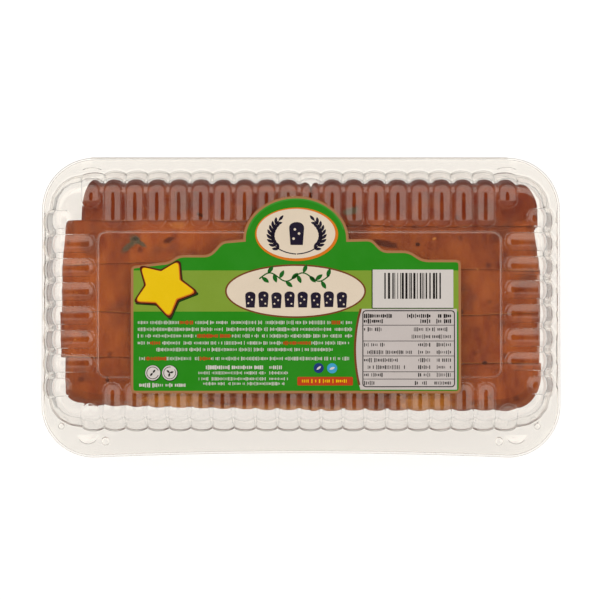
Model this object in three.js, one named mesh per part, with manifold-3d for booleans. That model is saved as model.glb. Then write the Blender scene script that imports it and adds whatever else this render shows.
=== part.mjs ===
// A sliced fruit cake in a clear pack: a ribbed tray, a ribbed lid that folds up about the pack's
// rear edge, a label on the lid, and two blocks of cake side by side, cut into five slices each.
// Millimetres. X runs along the pack, +Y is the side of the fold, and the table is Z = 0.
import * as THREE from "three";
import Module from "manifold-3d";

const wasm = await Module();
wasm.setup();

// The pack as a whole
const PACK_LENGTH = 240;
const PACK_DEPTH = 139;
const SHEET = 0.6;
const RIM_CORNER = 24;
const FRONT_BOW = 2;

// Levels: the upper faces of the two flanges, of the lid's shoulder and of its raised crests
const TRAY_RIM = 27;
const LID_RIM = TRAY_RIM + 0.3 + SHEET;
const SHOULDER = 48.4;
const CREST = 50;
const LABEL_BASE = 50.2;
const LABEL_THICK = 0.3;

// The fold: a bead on the tray's rear edge, and the lid's edge just clear of it
const FOLD_RADIUS = 0.4;
const FOLD_LENGTH = 194;
const FOLD_MIDDLE = -0.8;
const FOLD_Y = PACK_DEPTH / 2 - FOLD_RADIUS;
const FOLD_Z = TRAY_RIM + 0.15;
const LID_INSET = 0.8;
const LID_REAR = FOLD_Y - FOLD_RADIUS - 0.3;

// Ribs of the walls: how many a side has, and their pitch. A rib is wider at the foot of the wall.
const LONG_RIBS = 20;
const LONG_PITCH = 10.03;
const SHORT_RIBS = 8;
const SHORT_PITCH = 10.92;
const RIB_HALF = 4;
const RIB_FOOT_HALF = 4.6;
const RIB_RISE = CREST - SHOULDER;

// Each side of the pack, counterclockwise: where the middle of its row of ribs is along it, and
// distances from the middle of the pack. Those are of the lid's wall between the ribs, at its
// foot and its shoulder, of the inner ends of the ribs, and of the inner ends of the short knobs
// at the corners.
const SIDES = [
  { name: "right", middle: 2, foot: 115.3, shoulder: 107.8, inner: 92.8, knob: 101.8, long: false, turn: 1 },
  { name: "rear", middle: -0.8, foot: 61.4, shoulder: 55.9, inner: 36.8, knob: 45.6, long: true, turn: -1 },
  { name: "left", middle: 1.1, foot: 116.7, shoulder: 110, inner: 93.6, knob: 103.5, long: false, turn: -1 },
  { name: "front", middle: -0.8, foot: 55.7, shoulder: 50.3, inner: 34.8, knob: 44.5, long: true, turn: 1 },
];
const TRAY_FOOT_IN = 2.5;
const TRAY_RIM_IN = 0.6;

// The raised panel in the middle of the lid
const PANEL = { left: -92.9, right: 91.5, front: -32.9, rear: 34, corner: 4, slope: 0.9 };

// The cake: its height, and the rounding of its crust as an inset at each height
const CAKE_BASE = 1;
const CAKE_TOP = 42.6;
const SLICE_GAP = 0.3;
const SPLIT_X = 4.6;
const CRUST = [
  { z: CAKE_BASE, inset: 1.8 },
  { z: 14, inset: 0.6 },
  { z: 30, inset: 0 },
  { z: 37, inset: 0.8 },
  { z: 41, inset: 2.6 },
  { z: CAKE_TOP, inset: 4.8 },
];
const ROUND_ROWS = [0, 0.7, 2.2, 5, 11];
const SLICE_COLUMNS = 5;

// Each block from the rear: the cuts between its slices in Y, and the X of each slice's outer
// end at its rear and its front. A round corner has a half-width in X and a depth in Y.
const BLOCKS = [
  {
    name: "slice_left", turn: -1,
    cuts: [57.4, 39.2, 19.4, -2.8, -23.2, -47],
    ends: [[-100.6, -101.6], [-108.6, -110.2], [-110.3, -110.4], [-111.3, -110.9], [-108.8, -108.8]],
    rises: [-0.3, 0, -0.1, 0.1, -0.2],
    rearOuter: { x: 6, y: 10 }, rearInner: { x: 8.5, y: 4.2 }, frontOuter: { x: 12, y: 7 },
  },
  {
    name: "slice_right", turn: 1,
    cuts: [57.4, 36.5, 16.6, -3.7, -26.3, -47.4],
    ends: [[109.5, 109.5], [107.6, 110.5], [110.6, 110.6], [110.6, 110.2], [111, 111]],
    rises: [0, -0.2, 0.1, 0, -0.3],
    rearOuter: { x: 15, y: 13 }, rearInner: { x: 7.5, y: 4.2 }, frontOuter: { x: 14, y: 12 },
  },
];

// The label: its middle line and half-width, its dome, and points along its top edge on each side.
// The edge runs level from the first point to the second and climbs a soft step to the third, and
// so on up to the dome.
const LABEL = { middle: -2.3, half: 75.1, bottom: -39.9, corner: 2.5 };
const LABEL_DOME = { half: 24, base: 30.2, top: 49.9 };
const LABEL_RIGHT = [[70.2, 20.9], [58.4, 20.9], [46.2, 25.1], [39.6, 25.1], [30, 30.4]];
const LABEL_LEFT = [[-75, 18.2], [-63.4, 19.6], [-52.8, 23.1], [-44.2, 23.1], [-33.2, 29.6]];

const MATERIALS = {
  clear: new THREE.MeshStandardMaterial({
    color: "#e9e2da", roughness: 0.08, metalness: 0, transparent: true, opacity: 0.35,
  }),
  label: new THREE.MeshStandardMaterial({ color: "#2c8a2c", roughness: 0.45, metalness: 0 }),
  crust: new THREE.MeshStandardMaterial({ color: "#8b4a2d", roughness: 0.75, metalness: 0 }),
};

// A point at distance d out from the middle of the pack on one side, and s along that side
function sidePoint(side, s, d, z) {
  if (side.name === "right") return new THREE.Vector3(d, s, z);
  if (side.name === "rear") return new THREE.Vector3(s, d, z);
  if (side.name === "left") return new THREE.Vector3(-d, s, z);
  return new THREE.Vector3(s, -d, z);
}

// The middles of a side's ribs, in counterclockwise order
function ribMiddles(side) {
  const count = side.long ? LONG_RIBS : SHORT_RIBS;
  const pitch = side.long ? LONG_PITCH : SHORT_PITCH;
  return Array.from({ length: count }, (_, k) =>
    side.middle + side.turn * (k - (count - 1) / 2) * pitch);
}

// The cross section of a rib: where its points lie across it, and how far each one stands out
const LID_SECTION = [[-1, 0], [-0.55, 0.8], [0, 1], [0.55, 0.8], [1, 0]];
const TRAY_SECTION = [[-1, 0], [-0.5, 0.9], [0.5, 0.9], [1, 0]];

function ribPoints(side, middle, section, level) {
  const half = level.half ?? RIB_HALF;
  return section.map(([across, rise]) =>
    sidePoint(side, middle + side.turn * across * half, level.distance + rise * level.out,
      level.z + rise * level.up));
}

// A closed loop round the pack at one level of its wall: the ribs, and a round corner of four
// flats after each side. The loop also tells where the ribs of each side start.
const CORNER_ANGLES = [Math.PI / 8, Math.PI / 4, 3 * Math.PI / 8];

function wallLoop(section, levelOf) {
  const points = [];
  const starts = [];
  SIDES.forEach((side, i) => {
    const next = SIDES[(i + 1) % SIDES.length];
    const middles = ribMiddles(side);
    starts.push(points.length);
    for (const middle of middles) points.push(...ribPoints(side, middle, section, levelOf(side)));
    const from = points[points.length - 1];
    const to = ribPoints(next, ribMiddles(next)[0], section, levelOf(next))[0];
    const centre = side.long ? new THREE.Vector3(from.x, to.y, from.z)
      : new THREE.Vector3(to.x, from.y, from.z);
    for (const angle of CORNER_ANGLES) {
      points.push(centre.clone()
        .addScaledVector(from.clone().sub(centre), Math.cos(angle))
        .addScaledVector(to.clone().sub(centre), Math.sin(angle)));
    }
  });
  return { points, starts };
}

// The outline of a flange, with round corners and a front edge that bows in towards the middle
function rimOutline(inset, rear, z) {
  const points = [];
  const right = PACK_LENGTH / 2 - inset;
  const front = -PACK_DEPTH / 2 + inset;
  const radius = RIM_CORNER - inset;
  const arc = (x, y, start) => {
    for (let k = 0; k <= 6; k += 1) {
      const angle = start + k * Math.PI / 12;
      points.push(new THREE.Vector3(x + radius * Math.cos(angle), y + radius * Math.sin(angle), z));
    }
  };
  arc(right - radius, rear - radius, 0);
  arc(-right + radius, rear - radius, Math.PI / 2);
  arc(-right + radius, front + radius, Math.PI);
  const flat = right - radius;
  for (const part of [-0.7, -0.35, 0, 0.35, 0.7]) {
    points.push(new THREE.Vector3(part * flat, front + FRONT_BOW * (1 - part * part), z));
  }
  arc(right - radius, front + radius, 3 * Math.PI / 2);
  return points;
}

// Whether d lies inside the circle through a, b and c, seen from above
function inCircle(a, b, c, d) {
  const rows = [a, b, c].map((p) => {
    const x = p.x - d.x;
    const y = p.y - d.y;
    return [x, y, x * x + y * y];
  });
  const turn = (b.x - a.x) * (c.y - a.y) - (b.y - a.y) * (c.x - a.x);
  return new THREE.Matrix3().set(...rows.flat()).determinant() * Math.sign(turn) > 1e-6;
}

// Trades the shared edge of two triangles for the other one wherever that makes them rounder,
// so that a flat face has no long slivers
function roundTriangles(points, triangles) {
  let changed = true;
  while (changed) {
    changed = false;
    const owners = new Map();
    const touched = new Set();
    triangles.forEach((triangle, t) => {
      for (let k = 0; k < 3; k += 1) {
        const pair = [triangle[k], triangle[(k + 1) % 3]].sort((p, q) => p - q).join(",");
        const far = triangle[(k + 2) % 3];
        if (!owners.has(pair)) {
          owners.set(pair, { t, far });
          continue;
        }
        const other = owners.get(pair);
        if (touched.has(t) || touched.has(other.t)) continue;
        const [a, b] = pair.split(",").map(Number);
        if (!inCircle(points[a], points[b], points[far], points[other.far])) continue;
        triangles[t] = [far, other.far, a];
        triangles[other.t] = [far, other.far, b];
        touched.add(t).add(other.t);
        changed = true;
      }
    });
  }
  return triangles;
}

// A thin sheet as a list of triangles, each turned to face along a given direction
class Surface {
  constructor() {
    this.corners = [];
  }

  triangle(a, b, c, towards) {
    const normal = b.clone().sub(a).cross(c.clone().sub(a));
    if (normal.dot(towards) < 0) this.corners.push(a, c, b);
    else this.corners.push(a, b, c);
  }

  quad(a, b, c, d, towards) {
    this.triangle(a, b, c, towards);
    this.triangle(a, c, d, towards);
  }

  // The band between two loops or rows of the same length
  band(low, high, towards, closed) {
    const count = closed ? low.length : low.length - 1;
    for (let k = 0; k < count; k += 1) {
      const next = (k + 1) % low.length;
      const out = typeof towards === "function" ? towards(low[k], low[next]) : towards;
      this.quad(low[k], low[next], high[next], high[k], out);
    }
  }

  // A flat face at one height with its holes
  flat(contour, holes, up) {
    const triangles = THREE.ShapeUtils.triangulateShape(
      contour.map((p) => new THREE.Vector2(p.x, p.y)),
      holes.map((hole) => hole.map((p) => new THREE.Vector2(p.x, p.y))));
    const points = [contour, ...holes].flat();
    for (const [a, b, c] of roundTriangles(points, triangles)) {
      this.triangle(points[a], points[b], points[c], new THREE.Vector3(0, 0, up));
    }
  }

  // Vertices shared by equal corners, and triangles as indices into them
  weld() {
    const seen = new Map();
    const vertices = [];
    const indices = this.corners.map((p) => {
      const key = [p.x, p.y, p.z].map((value) => Math.round(value * 1e4)).join(",");
      if (!seen.has(key)) {
        seen.set(key, vertices.length);
        vertices.push(p);
      }
      return seen.get(key);
    });
    const triangles = [];
    for (let k = 0; k < indices.length; k += 3) {
      const triangle = indices.slice(k, k + 3);
      if (new Set(triangle).size === 3) triangles.push(triangle);
    }
    return { vertices, triangles };
  }
}

// A step back from a surface that keeps the sheet's thickness on every face that meets at a
// vertex: least squares over the faces' normals, held in place where they leave it free
function stepBack(normals, thickness) {
  const hold = 1e-3;
  const m = [hold, 0, 0, 0, hold, 0, 0, 0, hold];
  const sum = new THREE.Vector3();
  for (const n of normals) {
    const v = n.toArray();
    for (let i = 0; i < 9; i += 1) m[i] += v[Math.floor(i / 3)] * v[i % 3];
    sum.add(n);
  }
  const matrix = new THREE.Matrix3().set(...m).invert();
  return sum.multiplyScalar(-thickness).applyMatrix3(matrix).clampLength(0, 2 * thickness);
}

// A closed solid of even thickness behind an open surface
function thicken(surface, thickness) {
  const { vertices, triangles } = surface.weld();
  const normals = vertices.map(() => []);
  const edges = new Map();
  for (const [a, b, c] of triangles) {
    const normal = new THREE.Triangle(vertices[a], vertices[b], vertices[c])
      .getNormal(new THREE.Vector3());
    for (const corner of [a, b, c]) normals[corner].push(normal);
    for (const [from, to] of [[a, b], [b, c], [c, a]]) edges.set(`${from},${to}`, [from, to]);
  }
  const back = vertices.map((p, k) => p.clone().add(stepBack(normals[k], thickness)));
  const count = vertices.length;
  const solid = triangles.slice();
  for (const [a, b, c] of triangles) solid.push([a + count, c + count, b + count]);
  for (const [from, to] of edges.values()) {
    if (edges.has(`${to},${from}`)) continue;
    solid.push([to, from, from + count], [to, from + count, to + count]);
  }
  return toGeometry([...vertices, ...back], solid);
}

function toGeometry(vertices, triangles) {
  const geometry = new THREE.BufferGeometry();
  geometry.setAttribute("position",
    new THREE.Float32BufferAttribute(vertices.flatMap((p) => p.toArray()), 3));
  geometry.setIndex(triangles.flat());
  geometry.computeVertexNormals();
  return geometry;
}

const outwards = (a, b) => new THREE.Vector3(b.y - a.y, a.x - b.x, 0);
const upAndOut = (a, b) => outwards(a, b).normalize().add(new THREE.Vector3(0, 0, 1));

// Small locking buttons on the front flange, and the wider half-round ones beside the corner ribs
const BUTTONS = [
  { x: -90.4, y: -61.4, radius: 2.1 }, { x: 91.6, y: -61.6, radius: 2.1 },
  { x: -110.9, y: -55.2, radius: 1.6 }, { x: 109.4, y: -55.3, radius: 1.6 },
];
const BUTTON_RISE = 1.2;
const HALF_ROUNDS = [
  { x: -98.6, y: -58, width: 5, depth: 5.6 }, { x: 99.6, y: -58.2, width: 4.8, depth: 5.4 },
  { x: -97, y: 63.6, width: 4.6, depth: 2.5 }, { x: 95.4, y: 63.8, width: 4.6, depth: 2.5 },
];
const HALF_ROUND_RISE = 0.9;

function buttonLoop(button, shrink, z) {
  return Array.from({ length: 8 }, (_, k) => {
    const angle = k * Math.PI / 4;
    const radius = button.radius - shrink;
    return new THREE.Vector3(button.x + radius * Math.cos(angle),
      button.y + radius * Math.sin(angle), z);
  });
}

function halfRoundLoop(boss, shrink, z) {
  const away = Math.sign(boss.y);
  return Array.from({ length: 7 }, (_, k) => {
    const angle = k * Math.PI / 6;
    return new THREE.Vector3(boss.x + (boss.width - shrink) * Math.cos(angle),
      boss.y + away * (shrink * 0.5 + (boss.depth - 1.1 * shrink) * Math.sin(angle)), z);
  });
}

function addBoss(surface, loopOf, boss, rise, base, slope) {
  const low = loopOf(boss, 0, base);
  const high = loopOf(boss, slope, base + rise);
  const middle = new THREE.Vector3(boss.x, boss.y + Math.sign(boss.y) * (boss.depth ?? 0) / 2, 0);
  surface.band(low, high, (a) => a.clone().sub(middle).setZ(0), true);
  surface.flat(high, [], 1);
  return low;
}

// The lid: its flange, its ribbed wall, its shoulder with the ribs running in over it, and the
// raised panel, as one upper surface
function makeLid() {
  const surface = new Surface();
  const foot = wallLoop(LID_SECTION, (side) => ({
    distance: side.foot, z: LID_RIM, out: RIB_RISE, up: 0, half: RIB_FOOT_HALF,
  }));
  const brow = wallLoop(LID_SECTION, (side) => ({
    distance: side.shoulder + 0.2, z: SHOULDER - 2, out: RIB_RISE, up: 0.7,
  }));
  const edge = wallLoop(LID_SECTION, (side) => ({
    distance: side.shoulder - 1.6, z: SHOULDER, out: 0.7, up: RIB_RISE,
  }));
  surface.band(foot.points, brow.points, outwards, true);
  surface.band(brow.points, edge.points, upAndOut, true);

  const bosses = [
    ...BUTTONS.map((boss) => addBoss(surface, buttonLoop, boss, BUTTON_RISE, LID_RIM, 0.3)),
    ...HALF_ROUNDS.map((boss) => addBoss(surface, halfRoundLoop, boss, HALF_ROUND_RISE, LID_RIM, 0.5)),
  ];
  surface.flat(rimOutline(LID_INSET, LID_REAR, LID_RIM), [foot.points, ...bosses], 1);

  const up = new THREE.Vector3(0, 0, 1);
  const comb = [];
  SIDES.forEach((side, i) => {
    const middles = ribMiddles(side);
    middles.forEach((middle, k) => {
      const knob = k === 0 || k === middles.length - 1;
      const end = knob ? side.knob : side.inner;
      const start = edge.starts[i] + k * LID_SECTION.length;
      const first = edge.points.slice(start, start + LID_SECTION.length);
      const second = ribPoints(side, middle, LID_SECTION, {
        distance: end + RIB_HALF, z: SHOULDER, out: 0, up: RIB_RISE,
      });
      const third = ribPoints(side, middle, LID_SECTION, {
        distance: end + 0.3 * RIB_HALF, z: SHOULDER, out: 0, up: 0.62 * RIB_RISE,
        half: 0.71 * RIB_HALF,
      });
      const tip = sidePoint(side, middle, end, SHOULDER);
      surface.band(first, second, up, false);
      surface.band(second, third, up, false);
      for (let j = 0; j < third.length - 1; j += 1) {
        surface.triangle(third[j], third[j + 1], tip, up);
      }
      comb.push(first[0], second[0], third[0], tip, third.at(-1), second.at(-1), first.at(-1));
    });
    const after = edge.starts[i] + middles.length * LID_SECTION.length;
    comb.push(...edge.points.slice(after, after + CORNER_ANGLES.length));
  });
  const panelFoot = roundedLoop(PANEL, 0, SHOULDER);
  const panelTop = roundedLoop(PANEL, PANEL.slope, CREST);
  surface.flat(comb, [panelFoot], 1);
  surface.band(panelFoot, panelTop, upAndOut, true);
  surface.flat(panelTop, [], 1);
  return thicken(surface, SHEET);
}

function roundedLoop(box, inset, z) {
  const radius = box.corner - inset;
  const middles = [
    [box.right - box.corner, box.rear - box.corner], [box.left + box.corner, box.rear - box.corner],
    [box.left + box.corner, box.front + box.corner], [box.right - box.corner, box.front + box.corner],
  ];
  return middles.flatMap(([x, y], i) => [0, 1, 2, 3].map((k) => {
    const angle = i * Math.PI / 2 + k * Math.PI / 6;
    return new THREE.Vector3(x + radius * Math.cos(angle), y + radius * Math.sin(angle), z);
  }));
}

// The tray: floor, ribbed wall and flange as one lower surface, with the fold's bead joined on
function makeTray() {
  const surface = new Surface();
  const level = (inward, z, out, half) => (side) =>
    ({ distance: side.foot - inward, z, out, up: 0, half });
  const under = wallLoop(TRAY_SECTION, level(TRAY_FOOT_IN + 1.2, 0, 0.8, RIB_HALF));
  const base = wallLoop(TRAY_SECTION, level(TRAY_FOOT_IN, 1.6, 1.1, RIB_HALF));
  const rim = wallLoop(TRAY_SECTION, level(TRAY_RIM_IN, TRAY_RIM - SHEET, RIB_RISE, RIB_FOOT_HALF));
  surface.flat(under.points, [], -1);
  surface.band(under.points, base.points, outwards, true);
  surface.band(base.points, rim.points, outwards, true);
  surface.flat(rimOutline(0, FOLD_Y, TRAY_RIM - SHEET), [rim.points], -1);

  const bead = new THREE.CylinderGeometry(FOLD_RADIUS, FOLD_RADIUS, FOLD_LENGTH, 10);
  bead.rotateZ(Math.PI / 2);
  bead.translate(FOLD_MIDDLE, FOLD_Y, FOLD_Z);
  return fromManifold(toManifold(thicken(surface, SHEET)).add(toManifold(bead)));
}

function toManifold(geometry) {
  const position = geometry.getAttribute("position");
  const surface = new Surface();
  const order = geometry.getIndex().array;
  for (const k of order) surface.corners.push(new THREE.Vector3().fromBufferAttribute(position, k));
  const { vertices, triangles } = surface.weld();
  return new wasm.Manifold(new wasm.Mesh({
    numProp: 3,
    vertProperties: new Float32Array(vertices.flatMap((p) => p.toArray())),
    triVerts: new Uint32Array(triangles.flat()),
  }));
}

function fromManifold(solid) {
  const mesh = solid.getMesh();
  const geometry = new THREE.BufferGeometry();
  geometry.setAttribute("position", new THREE.BufferAttribute(mesh.vertProperties, 3));
  geometry.setIndex(new THREE.BufferAttribute(mesh.triVerts, 1));
  geometry.computeVertexNormals();
  return geometry;
}

// How far a round corner pulls the end of a slice in, at a distance from the corner's edge
function cornerPull(corner, distance) {
  if (!corner || distance >= corner.y) return 0;
  const part = 1 - distance / corner.y;
  return corner.x * (1 - Math.sqrt(1 - part * part));
}

// One slice: a box of faces whose crust sides lean and round over with height, and whose cut
// sides stay plain
function sliceGeometry(block, k) {
  const last = block.cuts.length - 2;
  const rear = block.cuts[k] - (k === 0 ? 0 : SLICE_GAP / 2);
  const front = block.cuts[k + 1] + (k === last ? 0 : SLICE_GAP / 2);
  const inner = SPLIT_X + block.turn * SLICE_GAP / 2;
  const depth = rear - front;
  const rounded = k === 0 || k === last;
  const steps = rounded ? [...ROUND_ROWS, depth] : [0, depth / 2, depth];
  const rows = k === last ? steps.map((step) => depth - step).reverse() : steps;

  const point = (column, row, level) => {
    const { z, inset } = CRUST[level];
    const fromRear = rows[row];
    const part = fromRear / depth;
    const rearIn = k === 0 ? inset : 0;
    const frontIn = k === last ? inset : 0;
    const y = rear - rearIn - part * (depth - rearIn - frontIn);
    const outerCorner = k === 0 ? block.rearOuter : block.frontOuter;
    const innerCorner = k === 0 ? block.rearInner : null;
    const fromEdge = k === 0 ? fromRear : depth - fromRear;
    const pull = rounded ? cornerPull(outerCorner, fromEdge) : 0;
    const tuck = rounded ? cornerPull(innerCorner, fromEdge) : 0;
    const end = THREE.MathUtils.lerp(block.ends[k][0], block.ends[k][1], part);
    const outer = end - block.turn * (pull + inset);
    const start = inner + block.turn * tuck;
    const rise = block.rises[k] * (z - CAKE_BASE) / (CAKE_TOP - CAKE_BASE);
    return new THREE.Vector3(THREE.MathUtils.lerp(start, outer, column / SLICE_COLUMNS), y, z + rise);
  };

  const surface = new Surface();
  const lastRow = rows.length - 1;
  const lastLevel = CRUST.length - 1;
  const face = (countA, countB, at, towards) => {
    for (let a = 0; a < countA; a += 1) {
      for (let b = 0; b < countB; b += 1) {
        surface.quad(at(a, b), at(a + 1, b), at(a + 1, b + 1), at(a, b + 1), towards);
      }
    }
  };
  const out = new THREE.Vector3(block.turn, 0, 0);
  face(SLICE_COLUMNS, lastRow, (c, r) => point(c, r, 0), new THREE.Vector3(0, 0, -1));
  face(SLICE_COLUMNS, lastRow, (c, r) => point(c, r, lastLevel), new THREE.Vector3(0, 0, 1));
  face(SLICE_COLUMNS, lastLevel, (c, l) => point(c, 0, l), new THREE.Vector3(0, 1, 0));
  face(SLICE_COLUMNS, lastLevel, (c, l) => point(c, lastRow, l), new THREE.Vector3(0, -1, 0));
  face(lastRow, lastLevel, (r, l) => point(0, r, l), out.clone().negate());
  face(lastRow, lastLevel, (r, l) => point(SLICE_COLUMNS, r, l), out);
  const { vertices, triangles } = surface.weld();
  return toGeometry(vertices, triangles);
}

// Draws a line to one point and a soft step from there to the next
function stepTo(shape, [ax, ay], [bx, by]) {
  const between = (ax + bx) / 2;
  shape.lineTo(ax, ay);
  shape.bezierCurveTo(between, ay, between, by, bx, by);
}

// The label: a plain card with a dome in the middle of its top edge and two soft steps each side
function labelGeometry() {
  const { middle, half, bottom, corner } = LABEL;
  const [left, right] = [middle - half, middle + half];
  const shape = new THREE.Shape();
  shape.moveTo(left + corner, bottom);
  shape.lineTo(right - corner, bottom);
  shape.quadraticCurveTo(right, bottom, right, bottom + corner);
  shape.lineTo(right, LABEL_RIGHT[0][1] - corner);
  shape.quadraticCurveTo(right, LABEL_RIGHT[0][1], ...LABEL_RIGHT[0]);
  stepTo(shape, LABEL_RIGHT[1], LABEL_RIGHT[2]);
  stepTo(shape, LABEL_RIGHT[3], LABEL_RIGHT[4]);
  shape.lineTo(middle + LABEL_DOME.half + 1, LABEL_DOME.base);
  shape.absellipse(middle, LABEL_DOME.base, LABEL_DOME.half, LABEL_DOME.top - LABEL_DOME.base,
    0, Math.PI, false);
  stepTo(shape, LABEL_LEFT[4], LABEL_LEFT[3]);
  stepTo(shape, LABEL_LEFT[2], LABEL_LEFT[1]);
  shape.lineTo(...LABEL_LEFT[0]);
  shape.quadraticCurveTo(left, LABEL_LEFT[0][1], left, LABEL_LEFT[0][1] - corner);
  shape.lineTo(left, bottom + corner);
  shape.quadraticCurveTo(left, bottom, left + corner, bottom);
  return new THREE.ExtrudeGeometry(shape,
    { depth: LABEL_THICK, bevelEnabled: false, curveSegments: 5 });
}

function addMesh(parent, name, geometry, material) {
  const mesh = new THREE.Mesh(geometry, material);
  mesh.name = name;
  parent.add(mesh);
  return mesh;
}

const pack = new THREE.Group();
addMesh(pack, "tray", makeTray(), MATERIALS.clear);
addMesh(pack, "lid", makeLid(), MATERIALS.clear);
addMesh(pack, "label", labelGeometry(), MATERIALS.label).position.z = LABEL_BASE;
for (const block of BLOCKS) {
  for (let k = 0; k < block.ends.length; k += 1) {
    addMesh(pack, `${block.name}_${k + 1}`, sliceGeometry(block, k), MATERIALS.crust);
  }
}

export default pack;
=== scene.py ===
# %% [markdown]
# # A sliced fruit cake in a clear, hinged pack
# Two blocks of fruit cake, each cut into five slices, lie in a ribbed clear tray. A ribbed lid
# folds over them from the rear edge and carries a printed label. The solids come ready made in
# the frame. This lesson dresses them: finer clear sheets, a printed label, and cake with a crust.

# %% Load the frame
import math

import bmesh
import bpy
import numpy as np
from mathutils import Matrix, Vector
from mathutils.geometry import delaunay_2d_cdt


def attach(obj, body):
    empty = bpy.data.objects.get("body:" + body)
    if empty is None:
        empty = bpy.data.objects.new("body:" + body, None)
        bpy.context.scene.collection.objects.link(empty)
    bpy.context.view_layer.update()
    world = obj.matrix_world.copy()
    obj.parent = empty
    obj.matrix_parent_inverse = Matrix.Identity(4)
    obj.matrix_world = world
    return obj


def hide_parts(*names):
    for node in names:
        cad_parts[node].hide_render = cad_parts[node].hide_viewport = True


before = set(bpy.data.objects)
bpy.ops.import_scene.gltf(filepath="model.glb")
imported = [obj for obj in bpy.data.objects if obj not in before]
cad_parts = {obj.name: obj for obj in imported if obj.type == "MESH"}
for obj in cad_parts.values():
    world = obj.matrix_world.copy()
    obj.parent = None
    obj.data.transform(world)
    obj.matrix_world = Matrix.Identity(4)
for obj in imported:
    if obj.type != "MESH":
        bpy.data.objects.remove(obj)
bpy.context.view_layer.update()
MM = 0.001
scene = bpy.context.scene
print("nodes in the frame:", len(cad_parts))

# %% [markdown]
# ## The camera
# The picture was taken from almost straight above, from well over a metre away, so the walls hardly
# lean. A long lens and a tilt of under two degrees towards the front give the same view.

# %% Camera
VIEW_DISTANCE = 1.2
VIEW_TILT = math.radians(1.7)
VIEW_WIDTH = 0.2784
VIEW_TARGET = Vector((-0.00046, 0.00325, 0.027))
SENSOR = 36

lens = bpy.data.cameras.new("Camera")
lens.sensor_width = SENSOR
lens.lens = SENSOR * VIEW_DISTANCE / VIEW_WIDTH
camera = bpy.data.objects.new("Camera", lens)
camera.location = VIEW_TARGET + VIEW_DISTANCE * Vector((0, -math.sin(VIEW_TILT), math.cos(VIEW_TILT)))
camera.rotation_euler = (VIEW_TILT, 0, 0)
scene.collection.objects.link(camera)
scene.camera = camera
scene.view_settings.view_transform = "Standard"
print("lens in mm:", round(lens.lens, 1))

# %% [markdown]
# ## Helpers for node trees
# Materials, light and Geometry Nodes are all trees of nodes. These few functions add a node, do sums
# with sockets and set up a group with named inputs, so that the cells below stay short.

# %% Node helpers
def tree_of(*values):
    """The node tree of the first socket among some values."""
    return next(value.id_data for value in values if isinstance(value, bpy.types.NodeSocket))


def connect(value, socket):
    """Feeds a socket with another socket or with a plain value."""
    if isinstance(value, bpy.types.NodeSocket):
        socket.id_data.links.new(value, socket)
    else:
        socket.default_value = value


def feed(node, values):
    """Feeds a node's first inputs in their order. Gives its first output."""
    for socket, value in zip(node.inputs, values):
        connect(value, socket)
    return node.outputs[0]


def set_inputs(node, values):
    for name, value in values.items():
        connect(value, node.inputs[name])


def add_node(tree, kind, inputs=None, **settings):
    node = tree.nodes.new(kind)
    for name, value in settings.items():
        setattr(node, name, value)
    set_inputs(node, inputs or {})
    return node


def maths(operation, *values):
    return feed(add_node(tree_of(*values), "ShaderNodeMath", operation=operation), values)


def plus(first, second):
    return maths("ADD", first, second)


def minus(first, second):
    return maths("SUBTRACT", first, second)


def times(first, second):
    return maths("MULTIPLY", first, second)


def vector_maths(operation, *values):
    return feed(add_node(tree_of(*values), "ShaderNodeVectorMath", operation=operation), values)


def ramp(value, start, end, low=0.0, high=1.0):
    """A value that goes smoothly from low to high as another goes from start to end."""
    node = add_node(tree_of(value), "ShaderNodeMapRange", interpolation_type="SMOOTHSTEP")
    return feed(node, (value, start, end, low, high))


def mix_colour(share, first, second, blend="MIX"):
    node = add_node(tree_of(share, first, second), "ShaderNodeMix", data_type="RGBA", blend_type=blend)
    for number, value in zip((0, 6, 7), (share, first, second)):
        connect((*value, 1) if isinstance(value, tuple) else value, node.inputs[number])
    return node.outputs[2]


def grey(value):
    """The colour whose red, green and blue are all one value."""
    channels = {name: value for name in ("Red", "Green", "Blue")}
    return add_node(tree_of(value), "ShaderNodeCombineColor", channels).outputs[0]


def noise(position, scale, detail=3.0, roughness=0.55):
    return add_node(tree_of(position), "ShaderNodeTexNoise", {
        "Vector": position, "Scale": scale, "Detail": detail, "Roughness": roughness,
    }).outputs["Fac"]


SOCKET_KINDS = {float: "Float", int: "Int", tuple: "Vector"}


def new_group(kind, name, inputs):
    """A node group with named inputs and one output, a value or a geometry. An input is given by
    its usual value, or by its kind. Gives the tree, its inputs, and the socket of its result."""
    tree = bpy.data.node_groups.new(name, kind)
    result = "Geometry" if kind == "GeometryNodeTree" else "Float"
    for label, value in inputs.items():
        socket = "NodeSocket" + (value if isinstance(value, str) else SOCKET_KINDS[type(value)])
        made = tree.interface.new_socket(label, in_out="INPUT", socket_type=socket)
        if not isinstance(value, str):
            made.default_value = value
    tree.interface.new_socket("Result", in_out="OUTPUT", socket_type="NodeSocket" + result)
    return tree, tree.nodes.new("NodeGroupInput").outputs, tree.nodes.new("NodeGroupOutput").inputs[0]


def finish_tree(geometry, given, result):
    """Ends a Geometry Nodes tree: instances are made real, and the piece gets its material."""
    real = add_node(result.id_data, "GeometryNodeRealizeInstances", {"Geometry": geometry})
    coated = add_node(result.id_data, "GeometryNodeSetMaterial", {
        "Geometry": real.outputs[0], "Material": given["Material"]})
    connect(coated.outputs[0], result)

# %% [markdown]
# ## Light
# The real pack stood in a light tent: soft light from all sides but the front, a small dark hole
# overhead for the camera, and a dark rim low down. On a clear sheet that pattern is what the eye
# reads. Each rib shows a pale pill with a dark slit along its crest and a dark crescent past its
# end. Lamps would do, but a world whose brightness depends on direction gives the same pattern
# without noise and leaves no lamps in other views.

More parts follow.
